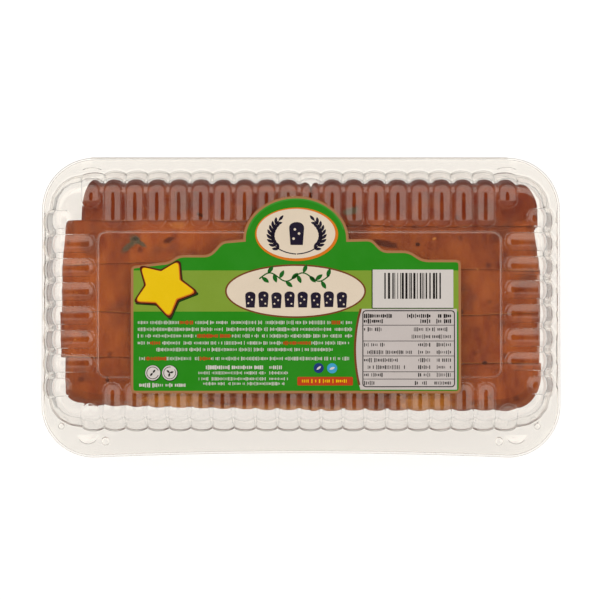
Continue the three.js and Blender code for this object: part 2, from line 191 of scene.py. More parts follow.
# %% World
world = bpy.data.worlds.new("Light tent")
scene.world = world
world.use_nodes = True
tent = world.node_tree
tent.nodes.clear()
direction = add_node(tent, "ShaderNodeSeparateXYZ")
connect(add_node(tent, "ShaderNodeTexCoord").outputs["Generated"], direction.inputs[0])
across, along = direction.outputs[:2]
lean = maths("SQRT", plus(maths("POWER", across, 2.0), maths("POWER", along, 2.0)))

TENT_GLOW = 1.7
CAMERA_HOLE = (0.15, 0.25)
HOLE_LIGHT = 0.0
LOW_RIM = (0.84, 0.94)
RIM_LIGHT = 0.2
FRONT_EDGE = (-0.06, -0.32)
DARK_FRONT = 0.25
TENT_COLOUR = (1.0, 0.94, 0.84, 1)

overhead = ramp(lean, *CAMERA_HOLE, HOLE_LIGHT, 1.0)
low_down = ramp(lean, *LOW_RIM, 1.0, RIM_LIGHT)
in_front = ramp(along, *FRONT_EDGE, 1.0, DARK_FRONT)
tent_light = times(times(overhead, low_down), times(in_front, TENT_GLOW))
background = add_node(tent, "ShaderNodeBackground", {"Color": TENT_COLOUR})
connect(tent_light, background.inputs["Strength"])
connect(background.outputs[0], add_node(tent, "ShaderNodeOutputWorld").inputs[0])
print("light tent: glow", TENT_GLOW, "front", DARK_FRONT * TENT_GLOW)

# %% [markdown]
# ## Floor
# The pack stands on a white light table, so no shadow shows round it and the clear flanges look
# almost white. The floor is one large square, pale and faintly lit from below. A clear wall that
# mirrored all of that light would blaze, while the real ones mirror a dimmer room beyond the table.
# So the floor is nearly black to rays that were mirrored straight into it, and a little dimmer to
# the others that met a gloss on their way.

# %% Floor
FLOOR_HALF = 3.0
FLOOR_GLOW = 0.82
FLOOR_PAINT = 0.3
MIRROR_LOSS = 0.97
DEEP_LOSS = 0.2
floor_mesh = bpy.data.meshes.new("Floor")
floor_mesh.from_pydata([(x * FLOOR_HALF, y * FLOOR_HALF, -0.0002)
                        for x, y in ((-1, -1), (1, -1), (1, 1), (-1, 1))], [], [(0, 1, 2, 3)])
floor = bpy.data.objects.new("Floor", floor_mesh)
scene.collection.objects.link(floor)

floor_material = bpy.data.materials.new("Light table")
floor_material.use_nodes = True
table = floor_material.node_tree.nodes["Principled BSDF"]
set_inputs(table, {"Roughness": 0.9, "Emission Color": (1.0, 1.0, 1.0, 1)})
ray = add_node(table.id_data, "ShaderNodeLightPath")
mirrored = times(ray.outputs["Is Glossy Ray"], minus(1.0, ray.outputs["Is Transmission Ray"]))
mirrored_within = maths("MINIMUM", ray.outputs["Glossy Depth"], 1.0)
loss = maths("MAXIMUM", times(mirrored, MIRROR_LOSS), times(mirrored_within, DEEP_LOSS))
dimming = minus(1.0, loss)
connect(times(dimming, FLOOR_GLOW), table.inputs["Emission Strength"])
connect(grey(times(dimming, FLOOR_PAINT)), table.inputs["Base Color"])
floor_mesh.materials.append(floor_material)

# %% [markdown]
# ## Helpers for meshes
# Shapes are worked out in millimetres and become meshes in metres. A flat area with holes in it is
# filled with triangles by Blender's own Delaunay routine, and only those whose middle lies inside
# the area are kept.

# %% Mesh helpers
def inside(points, loops):
    """True for each point that an odd number of loop edges passes to the right of."""
    odd = np.zeros(len(points), bool)
    x, y = points[:, 0], points[:, 1]
    for loop in loops:
        for (ax, ay), (bx, by) in zip(loop, np.roll(loop, -1, axis=0)):
            if ay == by:
                continue
            crosses = (y < ay) != (y < by)
            odd ^= crosses & (x < ax + (y - ay) * (bx - ax) / (by - ay))
    return odd


def fill_flat(loops):
    """Points and triangles of the area inside the first loop and outside the others."""
    loops = [np.asarray(loop, float)[:, :2] for loop in loops]
    points = np.concatenate(loops)
    edges = []
    start = 0
    for loop in loops:
        edges += [(start + k, start + (k + 1) % len(loop)) for k in range(len(loop))]
        start += len(loop)
    found = delaunay_2d_cdt([Vector(p) for p in points], edges, [], 0, 1e-7)
    vertices = np.array([tuple(v) for v in found[0]])
    triangles = np.array(found[2])
    middles = vertices[triangles].mean(axis=1)
    return vertices, triangles[inside(middles, loops)]


class Patchwork:
    """Patches of faces in millimetres, gathered one by one and then made into one mesh."""

    def __init__(self):
        self.vertices = []
        self.faces = []

    def add(self, vertices, faces):
        start = len(self.vertices)
        self.vertices.extend(tuple(v) for v in vertices)
        self.faces.extend([tuple(start + int(k) for k in face) for face in faces])

    def grid(self, rows, closed=False):
        """Faces between rows of points, each row as long as the next."""
        rows = [np.asarray(row, float) for row in rows]
        count = len(rows[0])
        faces = []
        for r in range(len(rows) - 1):
            for k in range(count if closed else count - 1):
                low = r * count
                turn = (k + 1) % count
                faces.append((low + k, low + turn, low + count + turn, low + count + k))
        self.add(np.concatenate(rows), faces)

    def flat(self, loops, z):
        vertices, triangles = fill_flat(loops)
        self.add([(x, y, z) for x, y in vertices], triangles)

    def mesh(self, name):
        made = bpy.data.meshes.new(name)
        made.from_pydata([(x * MM, y * MM, z * MM) for x, y, z in self.vertices], [], self.faces)
        return made


WELD = 2e-6


def weld(mesh, upwards=None):
    """Merges what coincides and turns the faces alike. An open sheet is turned over if needed, so
    that its widest faces look up or down."""
    work = bmesh.new()
    work.from_mesh(mesh)
    bmesh.ops.remove_doubles(work, verts=work.verts, dist=WELD)
    bmesh.ops.dissolve_degenerate(work, edges=work.edges, dist=WELD)
    bmesh.ops.recalc_face_normals(work, faces=work.faces)
    if upwards is not None:
        facing = sum(face.normal.z * face.calc_area() for face in work.faces)
        if (facing > 0) != upwards:
            bmesh.ops.reverse_faces(work, faces=work.faces)
    for face in work.faces:
        face.smooth = True
    work.to_mesh(mesh)
    work.free()
    return mesh


def new_object(name, mesh, material=None):
    made = bpy.data.objects.new(name, mesh)
    scene.collection.objects.link(made)
    if material is not None:
        mesh.materials.clear()
        mesh.materials.append(material)
    return made


def baked(made):
    """The object with its modifiers worked into a plain mesh, and the modifiers gone."""
    depsgraph = bpy.context.evaluated_depsgraph_get()
    mesh = bpy.data.meshes.new_from_object(made.evaluated_get(depsgraph))
    mesh.name = made.name
    made.modifiers.clear()
    made.data = mesh
    return made


def run_nodes(made, tree, **values):
    """Adds a Geometry Nodes modifier, sets its inputs by their identifiers, and bakes it."""
    modifier = made.modifiers.new(tree.name, "NODES")
    modifier.node_group = tree
    sockets = {item.name: item.identifier for item in tree.interface.items_tree
               if item.item_type == "SOCKET" and item.in_out == "INPUT"}
    for name, value in values.items():
        modifier[sockets[name]] = value
    return baked(made)


def joined(name, objects):
    """One object from several, which are removed."""
    work = bmesh.new()
    for made in objects:
        work.from_mesh(made.data)
    mesh = bpy.data.meshes.new(name)
    work.to_mesh(mesh)
    work.free()
    for made in objects:
        bpy.data.objects.remove(made)
    return new_object(name, mesh)


def triangles_of(made):
    made.data.calc_loop_triangles()
    return len(made.data.loop_triangles)

# %% [markdown]
# ## Finishes
# Two effects turn up in more than one finish. Fine grain is the faint mottle of ink on card and
# the dust on plastic. Uneven tone is the slow drift of colour over baked crust and candied fruit.
# Both are node groups that put out a value, and each material decides what that value changes.

# %% Shared shader groups
grain, given, result = new_group("ShaderNodeTree", "Fine grain", {
    "Position": "Vector", "Size": 0.0006, "Amount": 0.1})
mottle = noise(given["Position"], maths("DIVIDE", 1.0, given["Size"]), 2.0, 0.6)
connect(plus(1.0, times(given["Amount"], minus(mottle, 0.5))), result)

drift, given, result = new_group("ShaderNodeTree", "Uneven tone", {
    "Position": "Vector", "Size": 0.01, "Stretch": 1.0})
squeeze = add_node(drift, "ShaderNodeCombineXYZ", {
    "X": 1.0, "Y": maths("DIVIDE", 1.0, given["Stretch"]), "Z": 1.0})
squeezed = add_node(drift, "ShaderNodeMapping", {
    "Vector": given["Position"], "Scale": squeeze.outputs[0]})
clouds = noise(squeezed.outputs[0], maths("DIVIDE", 1.0, given["Size"]), 4.0, 0.6)
connect(ramp(clouds, 0.3, 0.7), result)


def new_material(name):
    """A material with its tree, its Principled shader and the piece's own coordinates."""
    material = bpy.data.materials.new(name)
    material.use_nodes = True
    tree = material.node_tree
    position = add_node(tree, "ShaderNodeTexCoord").outputs["Object"]
    return material, tree, tree.nodes["Principled BSDF"], position


def use_group(group, **values):
    return add_node(tree_of(*values.values()), "ShaderNodeGroup", values, node_tree=group).outputs[0]


def attribute(tree, name):
    """A value that the mesh carries at each point."""
    return add_node(tree, "ShaderNodeAttribute", attribute_name=name).outputs["Fac"]


def grained(colour, position, size, amount):
    """A colour whose brightness has fine grain."""
    shade = grey(use_group(grain, Position=position, Size=size, Amount=amount))
    return mix_colour(1.0, colour, shade, "MULTIPLY")

# %% [markdown]
# ## Clear sheet
# The pack is thin formed plastic, a little warm in tone, with a gloss that handling has dulled in
# places. Glass in the shader bends light as the real sheet does. The flats are slightly hazy, which
# a rough coat gives them without blurring what lies below. Light from the tent must reach the cake,
# though, and glass stops the shadow rays that look for it. So for shadow rays, and for light that
# bounces off the cake, the sheet is plainly transparent.

# %% Clear sheet
SHEET_TINT = (0.985, 0.968, 0.94, 1)
SHEET_INDEX = 1.5
HAZE_ROUGHNESS = 0.33
HAZE_RANGE = (0.17, 0.25)

SHADOW_TINT = (0.965, 0.955, 0.945, 1)
SHEET_POLISH = (0.015, 0.04)

clear, tree, shader, position = new_material("Clear sheet")
worn = use_group(drift, Position=position, Size=0.025)
dust = use_group(grain, Position=position, Size=0.002, Amount=0.5)
set_inputs(shader, {
    "Base Color": SHEET_TINT, "Transmission Weight": 1.0, "IOR": SHEET_INDEX,
    "Roughness": times(ramp(worn, 0.2, 1.0, *SHEET_POLISH), dust),
    "Coat Weight": times(attribute(tree, "haze"), ramp(worn, 0.0, 1.0, *HAZE_RANGE)),
    "Coat Roughness": HAZE_ROUGHNESS, "Coat IOR": SHEET_INDEX,
})
path = add_node(tree, "ShaderNodeLightPath")
see_through = maths("MAXIMUM", path.outputs["Is Shadow Ray"], path.outputs["Is Diffuse Ray"])
transparent = add_node(tree, "ShaderNodeBsdfTransparent", {"Color": SHADOW_TINT})
mixer = add_node(tree, "ShaderNodeMixShader")
connect(feed(mixer, (see_through, shader.outputs[0], transparent.outputs[0])),
        tree.nodes["Material Output"].inputs["Surface"])

# %% [markdown]
# ## The shape of the pack
# Both halves are one sheet pressed into walls, shoulders and ribs. The driving sizes are those of
# the solids. Each side of the pack keeps its own distances from the middle, as the pack in the
# photograph isn't quite even.

# %% Sizes of the pack
PACK_LENGTH = 240
PACK_DEPTH = 139
SHEET = 0.26
RIM_CORNER = 24
FRONT_BOW = 2
TRAY_RIM = 27
LID_RIM = 27.9
SHOULDER = 48.4
FOLD_RADIUS = 0.4
FOLD_LENGTH = 194
FOLD_MIDDLE = -0.8
FOLD_Y = 69.1
FOLD_Z = 27.15
LID_INSET = 0.8
LID_REAR = 68.4

LONG_RIBS, LONG_PITCH = 20, 10.03
SHORT_RIBS, SHORT_PITCH = 8, 10.92

SIDES = {
    "right": {"middle": 2.0, "foot": 115.3, "shoulder": 110.2, "inner": 92.8, "knob": 102.9,
              "fillet": 1.5, "round": 3.2},
    "rear": {"middle": -0.8, "foot": 61.4, "shoulder": 55.9, "inner": 35.6, "knob": 44.6,
             "fillet": 1.2, "round": 5.8, "knob_foot": 0.4},
    "left": {"middle": 1.1, "foot": 116.7, "shoulder": 111.6, "inner": 93.6, "knob": 104.3,
             "fillet": 0.9, "round": 3.2},
    "front": {"middle": -0.8, "foot": 55.7, "shoulder": 50.3, "inner": 34.8, "knob": 44.5,
              "fillet": 1.3, "round": 4.5},
}
ORDER = ["right", "rear", "left", "front"]


def is_long(side):
    return side in ("rear", "front")


def place(side, s, d, z):
    """The point at s along a side and d out from the middle of the pack."""
    return {"right": (d, s, z), "rear": (s, d, z), "left": (-d, s, z), "front": (s, -d, z)}[side]


def rib_row(side):
    """How many ribs a side has, their pitch, the middle of the row, and its direction when the
    pack is walked round counterclockwise."""
    middle = SIDES[side]["middle"]
    if is_long(side):
        return LONG_RIBS, LONG_PITCH, middle, 1 if side == "front" else -1
    return SHORT_RIBS, SHORT_PITCH, middle, 1 if side == "right" else -1

# %% [markdown]
# ## The section of a rib
# Across, a rib is a low arch that is almost flat on its crest and meets the sheet steeply. The
# gentle part mirrors the tent and looks pale, and the steep part mirrors the table and draws a thin
# dark line round the rib. A power of the circle's formula gives both with one value.

# %% Rib section
ARCH_POWER = 0.62


def rib_shape(part, power=ARCH_POWER):
    """A rib's rise at a part of its half width: 1 in the middle and 0 from its edge outwards."""
    return np.maximum(1 - np.asarray(part, float) ** 2, 0) ** power


LID_PARTS = [0, 0.11, 0.23, 0.35, 0.47, 0.59, 0.7, 0.8, 0.885, 0.945, 0.982, 1]
TRAY_PARTS = [0, 0.22, 0.44, 0.64, 0.8, 0.92, 1]


def section(parts):
    return np.array([-part for part in reversed(parts[1:])] + parts)


print("rib shape across its half:", rib_shape(np.array([0.0, 0.5, 0.9, 1.0])).round(3))

# %% [markdown]
# ## The path up the wall
# Seen from the end of a rib, the sheet runs along the flange, turns up the wall through a small
# curve, and turns in over the shoulder through a wide one. A short function rounds the corners of
# such a line, so both halves of the pack use it. Ribs widen and stand further out towards the foot,
# where they almost meet.

# %% Rounded path
def rounded_path(corners, radii, steps):
    """The arcs that round the inner corners of a line in (distance, height)."""
    arcs = []
    for before, corner, after, radius, count in zip(corners, corners[1:], corners[2:], radii, steps):
        before, corner, after = (np.array(p, float) for p in (before, corner, after))
        way_in = (corner - before) / np.linalg.norm(corner - before)
        way_out = (after - corner) / np.linalg.norm(after - corner)
        turn = math.acos(np.clip(way_in @ way_out, -1, 1))
        reach = radius * math.tan(turn / 2)
        start = corner - way_in * reach
        side = np.array([-way_in[1], way_in[0]])
        side *= np.sign(side @ way_out)
        centre = start + side * radius
        arcs.append([centre + radius * (-side * math.cos(turn * k / count)
                                        + way_in * math.sin(turn * k / count))
                     for k in range(count + 1)])
    return arcs

# %% Rows of the lid
# A row is its distance, its height, the way a rib pushes the sheet, and the rib's half width and rise
HALF_TOP = 4.25
HALF_FOOT = {True: 4.95, False: 5.35}
RISE_INNER = {True: 1.6, False: 1.85}
RISE_EDGE = {True: 1.6, False: 1.25}
RISE_WALL = 1.65
RISE_FOOT = {True: 1.95, False: 2.3}
SHOULDER_STEPS = 9


def lid_wall(side, knob=False):
    """Rows of the lid's wall from its foot to where its flat top begins. The outermost ribs of the
    rear side hardly stand out at their foot."""
    size, long_side = SIDES[side], is_long(side)
    rise_foot = size.get("knob_foot", RISE_FOOT[long_side]) if knob else RISE_FOOT[long_side]
    foot, top = rounded_path(
        [(size["foot"] + 6, LID_RIM), (size["foot"], LID_RIM), (size["shoulder"], SHOULDER),
         (size["shoulder"] - 14, SHOULDER)], [size["fillet"], size["round"]], [4, SHOULDER_STEPS])
    rows = [(d, z, 1, 0, HALF_FOOT[long_side], rise_foot) for d, z in foot]
    for k, (d, z) in enumerate(top):
        share = k / SHOULDER_STEPS
        angle = math.pi / 2 * share
        half = HALF_TOP + (HALF_FOOT[long_side] - HALF_TOP) * 0.35 * (1 - share)
        rise = RISE_WALL + (RISE_EDGE[long_side] - RISE_WALL) * share
        rows.append((d, z, math.cos(angle), math.sin(angle), half, rise))
    return rows


END_STEPS = [0, 0.22, 0.4, 0.56, 0.7, 0.82, 0.91, 0.97, 1]
END_POWER = 1.05
TOP_POWER = {True: 0.62, False: 0.3}


def flat_rows(side, start, end):
    """Rows on the flat top from a distance in to the inner ends of a side's ribs."""
    size = SIDES[side]
    rise_edge, rise_inner = RISE_EDGE[is_long(side)], RISE_INNER[is_long(side)]
    distances = []
    for tip in (size["knob"], size["inner"]):
        centre = tip + HALF_TOP
        ahead = [centre - step * HALF_TOP for step in END_STEPS]
        distances += [d for d in ahead if d < start - 0.3]
    rows = []
    for d in sorted(set(distances), reverse=True):
        if d < end - 1e-6:
            continue
        share = (start - d) / (start - size["inner"])
        rows.append((d, SHOULDER, 0, 1, HALF_TOP, rise_edge + (rise_inner - rise_edge) * share))
    return rows


FLOOR_ROUND = 1.6
TRAY_FOOT_IN = 2.62
TRAY_RIM_IN = 0.6
TRAY_RIM_ROUND = 0.9
TRAY_FLANGE = TRAY_RIM - SHEET
TRAY_RISE = (0.85, 1.75)


def tray_wall(side, knob=False):
    """Rows of the tray's wall from its floor to its flange, with the same values."""
    foot, half = SIDES[side]["foot"], HALF_FOOT[is_long(side)]
    floor_turn, rim_turn = rounded_path(
        [(foot - 12, 0), (foot - TRAY_FOOT_IN, 0), (foot - TRAY_RIM_IN, TRAY_FLANGE),
         (foot + 6, TRAY_FLANGE)], [FLOOR_ROUND, TRAY_RIM_ROUND], [4, 3])
    return ([(d, z, 1, 0, HALF_TOP, TRAY_RISE[0]) for d, z in floor_turn]
            + [(d, z, 1, 0, half, TRAY_RISE[1]) for d, z in rim_turn])

# %% [markdown]
# ## One rib, repeated along a side by Geometry Nodes
# A tile is one rib with half a gap on each side of it, as a height field over the wall, the
# shoulder and the flat top. Geometry Nodes lay the tile along a side at the pitch of the ribs: a
# mesh line gives the places, and the tile is instanced there and made real. The tile's edges meet
# those of its neighbours, so the tiles merge into one sheet.

# %% Geometry Nodes: repeat along a side
repeat, given, result = new_group("GeometryNodeTree", "Repeat along a side", {
    "Geometry": "Geometry", "Count": 1, "Start": "Vector", "Step": "Vector", "Material": "Material"})
places = add_node(repeat, "GeometryNodeMeshLine", {
    "Count": given["Count"], "Start Location": given["Start"], "Offset": given["Step"]})
laid = add_node(repeat, "GeometryNodeInstanceOnPoints", {
    "Points": places.outputs[0], "Instance": given["Geometry"]})
finish_tree(laid.outputs[0], given, result)

# %% Rib tiles
def tile_row(side, row, parts, s=0.0, tip=None):
    """The points across one row of a tile at s along its side. Past a rib's round end, its
    height follows the distance from the end's centre, and the arch grows gentler. Short sides have
    ribs with flatter crests."""
    distance, height, outwards, upwards, half, rise = row
    border = rib_row(side)[1] / 2
    past = 0.0 if tip is None else np.clip((tip + HALF_TOP - distance) / HALF_TOP, 0, 1)
    power = ARCH_POWER + (TOP_POWER[is_long(side)] - ARCH_POWER) * upwards
    power += (END_POWER - power) * past ** 2
    heights = rise * rib_shape(np.hypot(parts, past), power)
    ribs = [place(side, s + part * half, distance + outwards * h, height + upwards * h)
            for part, h in zip(parts, heights)]
    return [place(side, s - border, distance, height), *ribs, place(side, s + border, distance, height)]


def rib_tile(name, side, rows, parts, tip=None):
    tile = Patchwork()
    tile.grid([tile_row(side, row, parts, tip=tip) for row in rows])
    return new_object(name, tile.mesh(name))


def ribbed_sides(name, wall_of, parts, with_top):
    """All four ribbed sides of one half of the pack."""
    made = []
    for side in ORDER:
        count, pitch, middle, _ = rib_row(side)
        axis = Vector((1, 0, 0)) if is_long(side) else Vector((0, 1, 0))
        first = middle - (count - 1) / 2 * pitch
        runs = [("ribs", count - 2, first + pitch, pitch, SIDES[side]["inner"]),
                ("knobs", 2, first, (count - 1) * pitch, SIDES[side]["knob"])]
        for kind, number, start, step, tip in runs:
            rows = wall_of(side, kind == "knobs")
            if with_top:
                rows += flat_rows(side, rows[-1][0], tip)
            tile = rib_tile(f"{name}_{side}_{kind}", side, rows, parts, tip if with_top else None)
            made.append(run_nodes(tile, repeat, Count=number, Start=axis * start * MM,
                                  Step=axis * step * MM, Material=clear))
    return made

# %% [markdown]
# ## Corners, flanges and the raised panel
# Between two sides the wall turns through four flats whose creases are softly rounded. The flange
# is flat with a hole for the wall, and the top of the lid is a flat frame round the raised panel.
# These areas are filled once, from the same outlines that the ribs have.

# %% Corner walls
CREASES = [math.pi / 8, math.pi / 4, 3 * math.pi / 8]
CREASE_SOFT = 0.16


def side_end(side, row, last):
    """Where a row leaves the first or the last tile of a side."""
    count, pitch, middle, turn = rib_row(side)
    s = middle + turn * (count / 2 * pitch if last else -count / 2 * pitch)
    return np.array(place(side, s, row[0], row[1]))


def corner_row(side, row, other, other_row):
    """The points of a corner between the end of one side and the start of the next."""
    start = side_end(side, row, True)
    end = side_end(other, other_row, False)
    centre = np.array([start[0], end[1], 0]) if is_long(side) else np.array([end[0], start[1], 0])
    line = [start]
    for angle in CREASES:
        point = centre + (start - centre) * math.cos(angle) + (end - centre) * math.sin(angle)
        point[2] = start[2] * math.cos(angle) ** 2 + end[2] * math.sin(angle) ** 2
        line.append(point)
    line.append(end)
    points = [start]
    for before, crease, after in zip(line, line[1:], line[2:]):
        near = crease + (before - crease) * CREASE_SOFT
        far = crease + (after - crease) * CREASE_SOFT
        points += [near, (near + far + 2 * crease) / 4, far]
    return points + [end]


def corners(patch, wall_of):
    """The corner walls, and the points of their first and last rows for the flats beside them."""
    ends = {}
    for k, side in enumerate(ORDER):
        other = ORDER[(k + 1) % 4]
        lines = [corner_row(side, row, other, other_row)
                 for row, other_row in zip(wall_of(side), wall_of(other))]
        patch.grid(lines)
        ends[side] = (lines[0], lines[-1])
    return ends


def tile_middles(side):
    """The middles of a side's tiles in counterclockwise order."""
    count, pitch, middle, turn = rib_row(side)
    return [middle + turn * (k - (count - 1) / 2) * pitch for k in range(count)]


def walked(side, row, parts, s, tip=None):
    """A tile's row in counterclockwise order."""
    points = tile_row(side, row, parts, s, tip)
    return points if rib_row(side)[3] > 0 else points[::-1]


def ring_outline(wall_of, parts, ends, row_number):
    """The outline of the ribbed wall at its first or last row, as a loop."""
    points = []
    for side in ORDER:
        middles = tile_middles(side)
        for k, s in enumerate(middles):
            row = wall_of(side, k in (0, len(middles) - 1))[row_number]
            points += walked(side, row, parts, s)
        points += ends[side][row_number][1:-1]
    return drop_doubles(points)


def drop_doubles(points):
    kept = []
    for point in points:
        if not kept or max(abs(a - b) for a, b in zip(point, kept[-1])) > 1e-4:
            kept.append(tuple(point))
    return kept if max(abs(a - b) for a, b in zip(kept[0], kept[-1])) > 1e-4 else kept[:-1]


def top_outline(parts, ends):
    """The outline of the lid's flat top: along the corners and round the inner ends of the tiles."""
    points = []
    for side in ORDER:
        count, pitch, _, turn = rib_row(side)
        start, knob_tip = lid_wall(side)[-1][0], SIDES[side]["knob"]
        for k, s in enumerate(tile_middles(side)):
            tip = knob_tip if k in (0, count - 1) else SIDES[side]["inner"]
            rows = flat_rows(side, start, tip)
            steps = [start, *(row[0] for row in rows)]
            past_knob = [d for d in steps[1:] if d < knob_tip + 1e-6]
            before = {0: steps, 1: past_knob}.get(k, [])
            after = {count - 1: steps, count - 2: past_knob}.get(k, [])
            points += [place(side, s - turn * pitch / 2, d, SHOULDER) for d in before]
            points += walked(side, rows[-1], parts, s, tip)
            points += [place(side, s + turn * pitch / 2, d, SHOULDER) for d in reversed(after)]
        points += ends[side][1][1:-1]
    return drop_doubles(points)


# %% Flange outlines and bosses
def rim_outline(inset, rear):
    """The outline of a flange: round corners, and a front edge that bows in towards the middle."""
    right = PACK_LENGTH / 2 - inset
    front = -PACK_DEPTH / 2 + inset
    radius = RIM_CORNER - inset
    flat = right - radius

    def arc(x, y, start):
        angles = start + np.linspace(0, math.pi / 2, 25)
        return [(x + radius * math.cos(a), y + radius * math.sin(a)) for a in angles]

    bow = [(part * flat, front + FRONT_BOW * (1 - part * part)) for part in np.linspace(-0.9, 0.9, 19)]
    return (arc(flat, rear - radius, 0) + arc(-flat, rear - radius, math.pi / 2)
            + arc(-flat, front + radius, math.pi) + bow + arc(flat, front + radius, 1.5 * math.pi))


BUTTONS = [(-90.4, -62.1, 2.1), (91.6, -62.2, 2.1), (-110.9, -55.2, 1.6), (109.4, -55.3, 1.6)]
HALF_ROUNDS = [(-98.6, -59, 5, 4.6), (99.6, -59.2, 4.8, 4.4), (-97, 63, 4.8, 1.8), (95.4, 63.1, 4.8, 1.9)]
BUTTON_RINGS = [(1, 0), (0.96, 0.3), (0.89, 0.75), (0.75, 1.0), (0.45, 1.12), (0.2, 1.15)]
HALF_ROUND_RINGS = [(1, 0), (0.97, 0.25), (0.93, 0.5), (0.84, 0.68), (0.65, 0.8), (0.4, 0.86)]
LIP_STEPS = [(0, -0.36), (0.1, -0.14), (0.35, -0.02), (0.55, 0)]


def add_lip(patch, inset, rear, z):
    """The turned-down edge of a flange. Gives the outline of the flat inside it."""
    rows = [[(*p, z + drop) for p in rim_outline(inset + step, rear - step)] for step, drop in LIP_STEPS]
    patch.grid(rows, closed=True)
    return [p[:2] for p in rows[-1]]


def ellipse(x, y, a, b, count=72):
    angles = np.arange(count) * 2 * math.pi / count
    return [(x + a * math.cos(t), y + b * math.sin(t)) for t in angles]


def half_round(x, y, width, depth, count=14):
    away = math.copysign(1, y)
    angles = np.linspace(0, math.pi, count + 1)
    return [(x + width * math.cos(a), y + away * depth * math.sin(a)) for a in angles]


def add_boss(patch, outline, rings, z, wedge=None):
    """A boss whose rings shrink towards its middle as they rise. A half round is a wedge: level
    with the flange at its straight side and highest at its arc."""
    centre = np.mean(np.array(outline), axis=0)

    def lifted(point, height):
        part = 1 if wedge is None else min(1, 1.4 * abs(point[1] - wedge[1]) / wedge[3])
        return (point[0], point[1], z + height * part)

    rows = [[lifted(centre + (np.array(p) - centre) * share, height) for p in outline]
            for share, height in rings]
    patch.grid(rows, closed=True)
    count = len(outline)
    fan = [(k, (k + 1) % count, count) for k in range(count)]
    patch.add([*rows[-1], lifted(centre, rings[-1][1])], fan)
    return outline

# %% Raised panel
PANEL = {"left": -92.9, "right": 91.5, "front": -32.9, "rear": 34, "corner": 4.3}
PANEL_STEPS = [(-0.3, 0), (-0.12, 0.1), (0.02, 0.4), (0.12, 0.85), (0.25, 1.2), (0.45, 1.44),
               (0.75, 1.56), (1.05, 1.6)]


def rounded_box(left, right, low, high, radius=0.4, count=5):
    middles = [(right - radius, high - radius), (left + radius, high - radius),
               (left + radius, low + radius), (right - radius, low + radius)]
    return [(x + radius * math.cos(k * math.pi / 2 + t), y + radius * math.sin(k * math.pi / 2 + t))
            for k, (x, y) in enumerate(middles) for t in np.linspace(0, math.pi / 2, count)]


def panel_outline(inset):
    return rounded_box(PANEL["left"] + inset, PANEL["right"] - inset, PANEL["front"] + inset,
                       PANEL["rear"] - inset, PANEL["corner"] - inset, 9)

# %% [markdown]
# ## Lid and tray
# All patches of a half are joined and welded into one open sheet. The Solidify modifier then gives
# it its thickness, inwards from the outer face, which keeps the outer sizes those of the solid.
# Smooth shading would tilt the flat areas a little along their edges, and a clear sheet shows that
# as kinks in whatever lies behind it. So each corner that touches a flat area takes its direction.

# %% Thicken a sheet
SHARP_ANGLE = math.radians(48)
FLAT_LIMIT = 0.99995


def read_values(items, name, width):
    values = np.empty(len(items) * width)
    items.foreach_get(name, values)
    return values.reshape(-1, width)


def level_flats(mesh):
    """Turns the normals round flat, level faces to match those faces."""
    normals = read_values(mesh.corner_normals, "vector", 3)
    faces = read_values(mesh.polygons, "normal", 3)
    sizes = read_values(mesh.polygons, "loop_total", 1)[:, 0].astype(int)
    vertex = read_values(mesh.loops, "vertex_index", 1)[:, 0].astype(int)
    face_of_corner = np.repeat(np.arange(len(sizes)), sizes)
    for way in (1, -1):
        level = faces[:, 2] * way > FLAT_LIMIT
        touched = np.zeros(len(mesh.vertices), bool)
        touched[vertex[level[face_of_corner]]] = True
        near = touched[vertex] & (normals[:, 2] * way > math.cos(SHARP_ANGLE))
        normals[near] = (0, 0, way)
    mesh.normals_split_custom_set([tuple(n) for n in normals])


def thickened(made, upwards):
    weld(made.data, upwards)
    wall = made.modifiers.new("Thickness", "SOLIDIFY")
    wall.thickness = SHEET * MM
    wall.offset = -1
    wall.use_quality_normals = True
    baked(made)
    made.data.set_sharp_from_angle(angle=SHARP_ANGLE)
    level_flats(made.data)
    made.data.materials.clear()
    made.data.materials.append(clear)
    return made

# %% Haze of the flats
HAZE_FROM = 44
WALL_HAZE = 0.25
RIB_CLEAR = {True: 1.0, False: 0.9}
HAZE_EDGE = 0.4


def haze_of(points):
    """How hazy the lid is at points in millimetres. Its flats are, and its long sides' ribs aren't."""
    x, y, z = points.T
    hazy = np.where(z > HAZE_FROM, 1.0, WALL_HAZE)
    for side in ORDER:
        count, pitch, middle, _ = rib_row(side)
        outwards = {"right": x, "rear": y, "left": -x, "front": -y}[side]
        along_side = x if is_long(side) else y
        place_in_row = (along_side - middle) / pitch + (count - 1) / 2
        nearest = np.clip(np.round(place_in_row), 0, count - 1)
        tips = np.where((nearest == 0) | (nearest == count - 1), SIDES[side]["knob"], SIDES[side]["inner"])
        past_end = np.clip(tips + HALF_TOP - outwards, 0, None)
        from_edge = HALF_TOP - np.hypot((place_in_row - nearest) * pitch, past_end)
        hazy = np.minimum(hazy, 1 - RIB_CLEAR[is_long(side)] * np.clip(from_edge / HAZE_EDGE, 0, 1))
    return hazy


def add_value(mesh, name, values):
    mesh.attributes.new(name, "FLOAT", "POINT").data.foreach_set("value", np.asarray(values, np.float32))

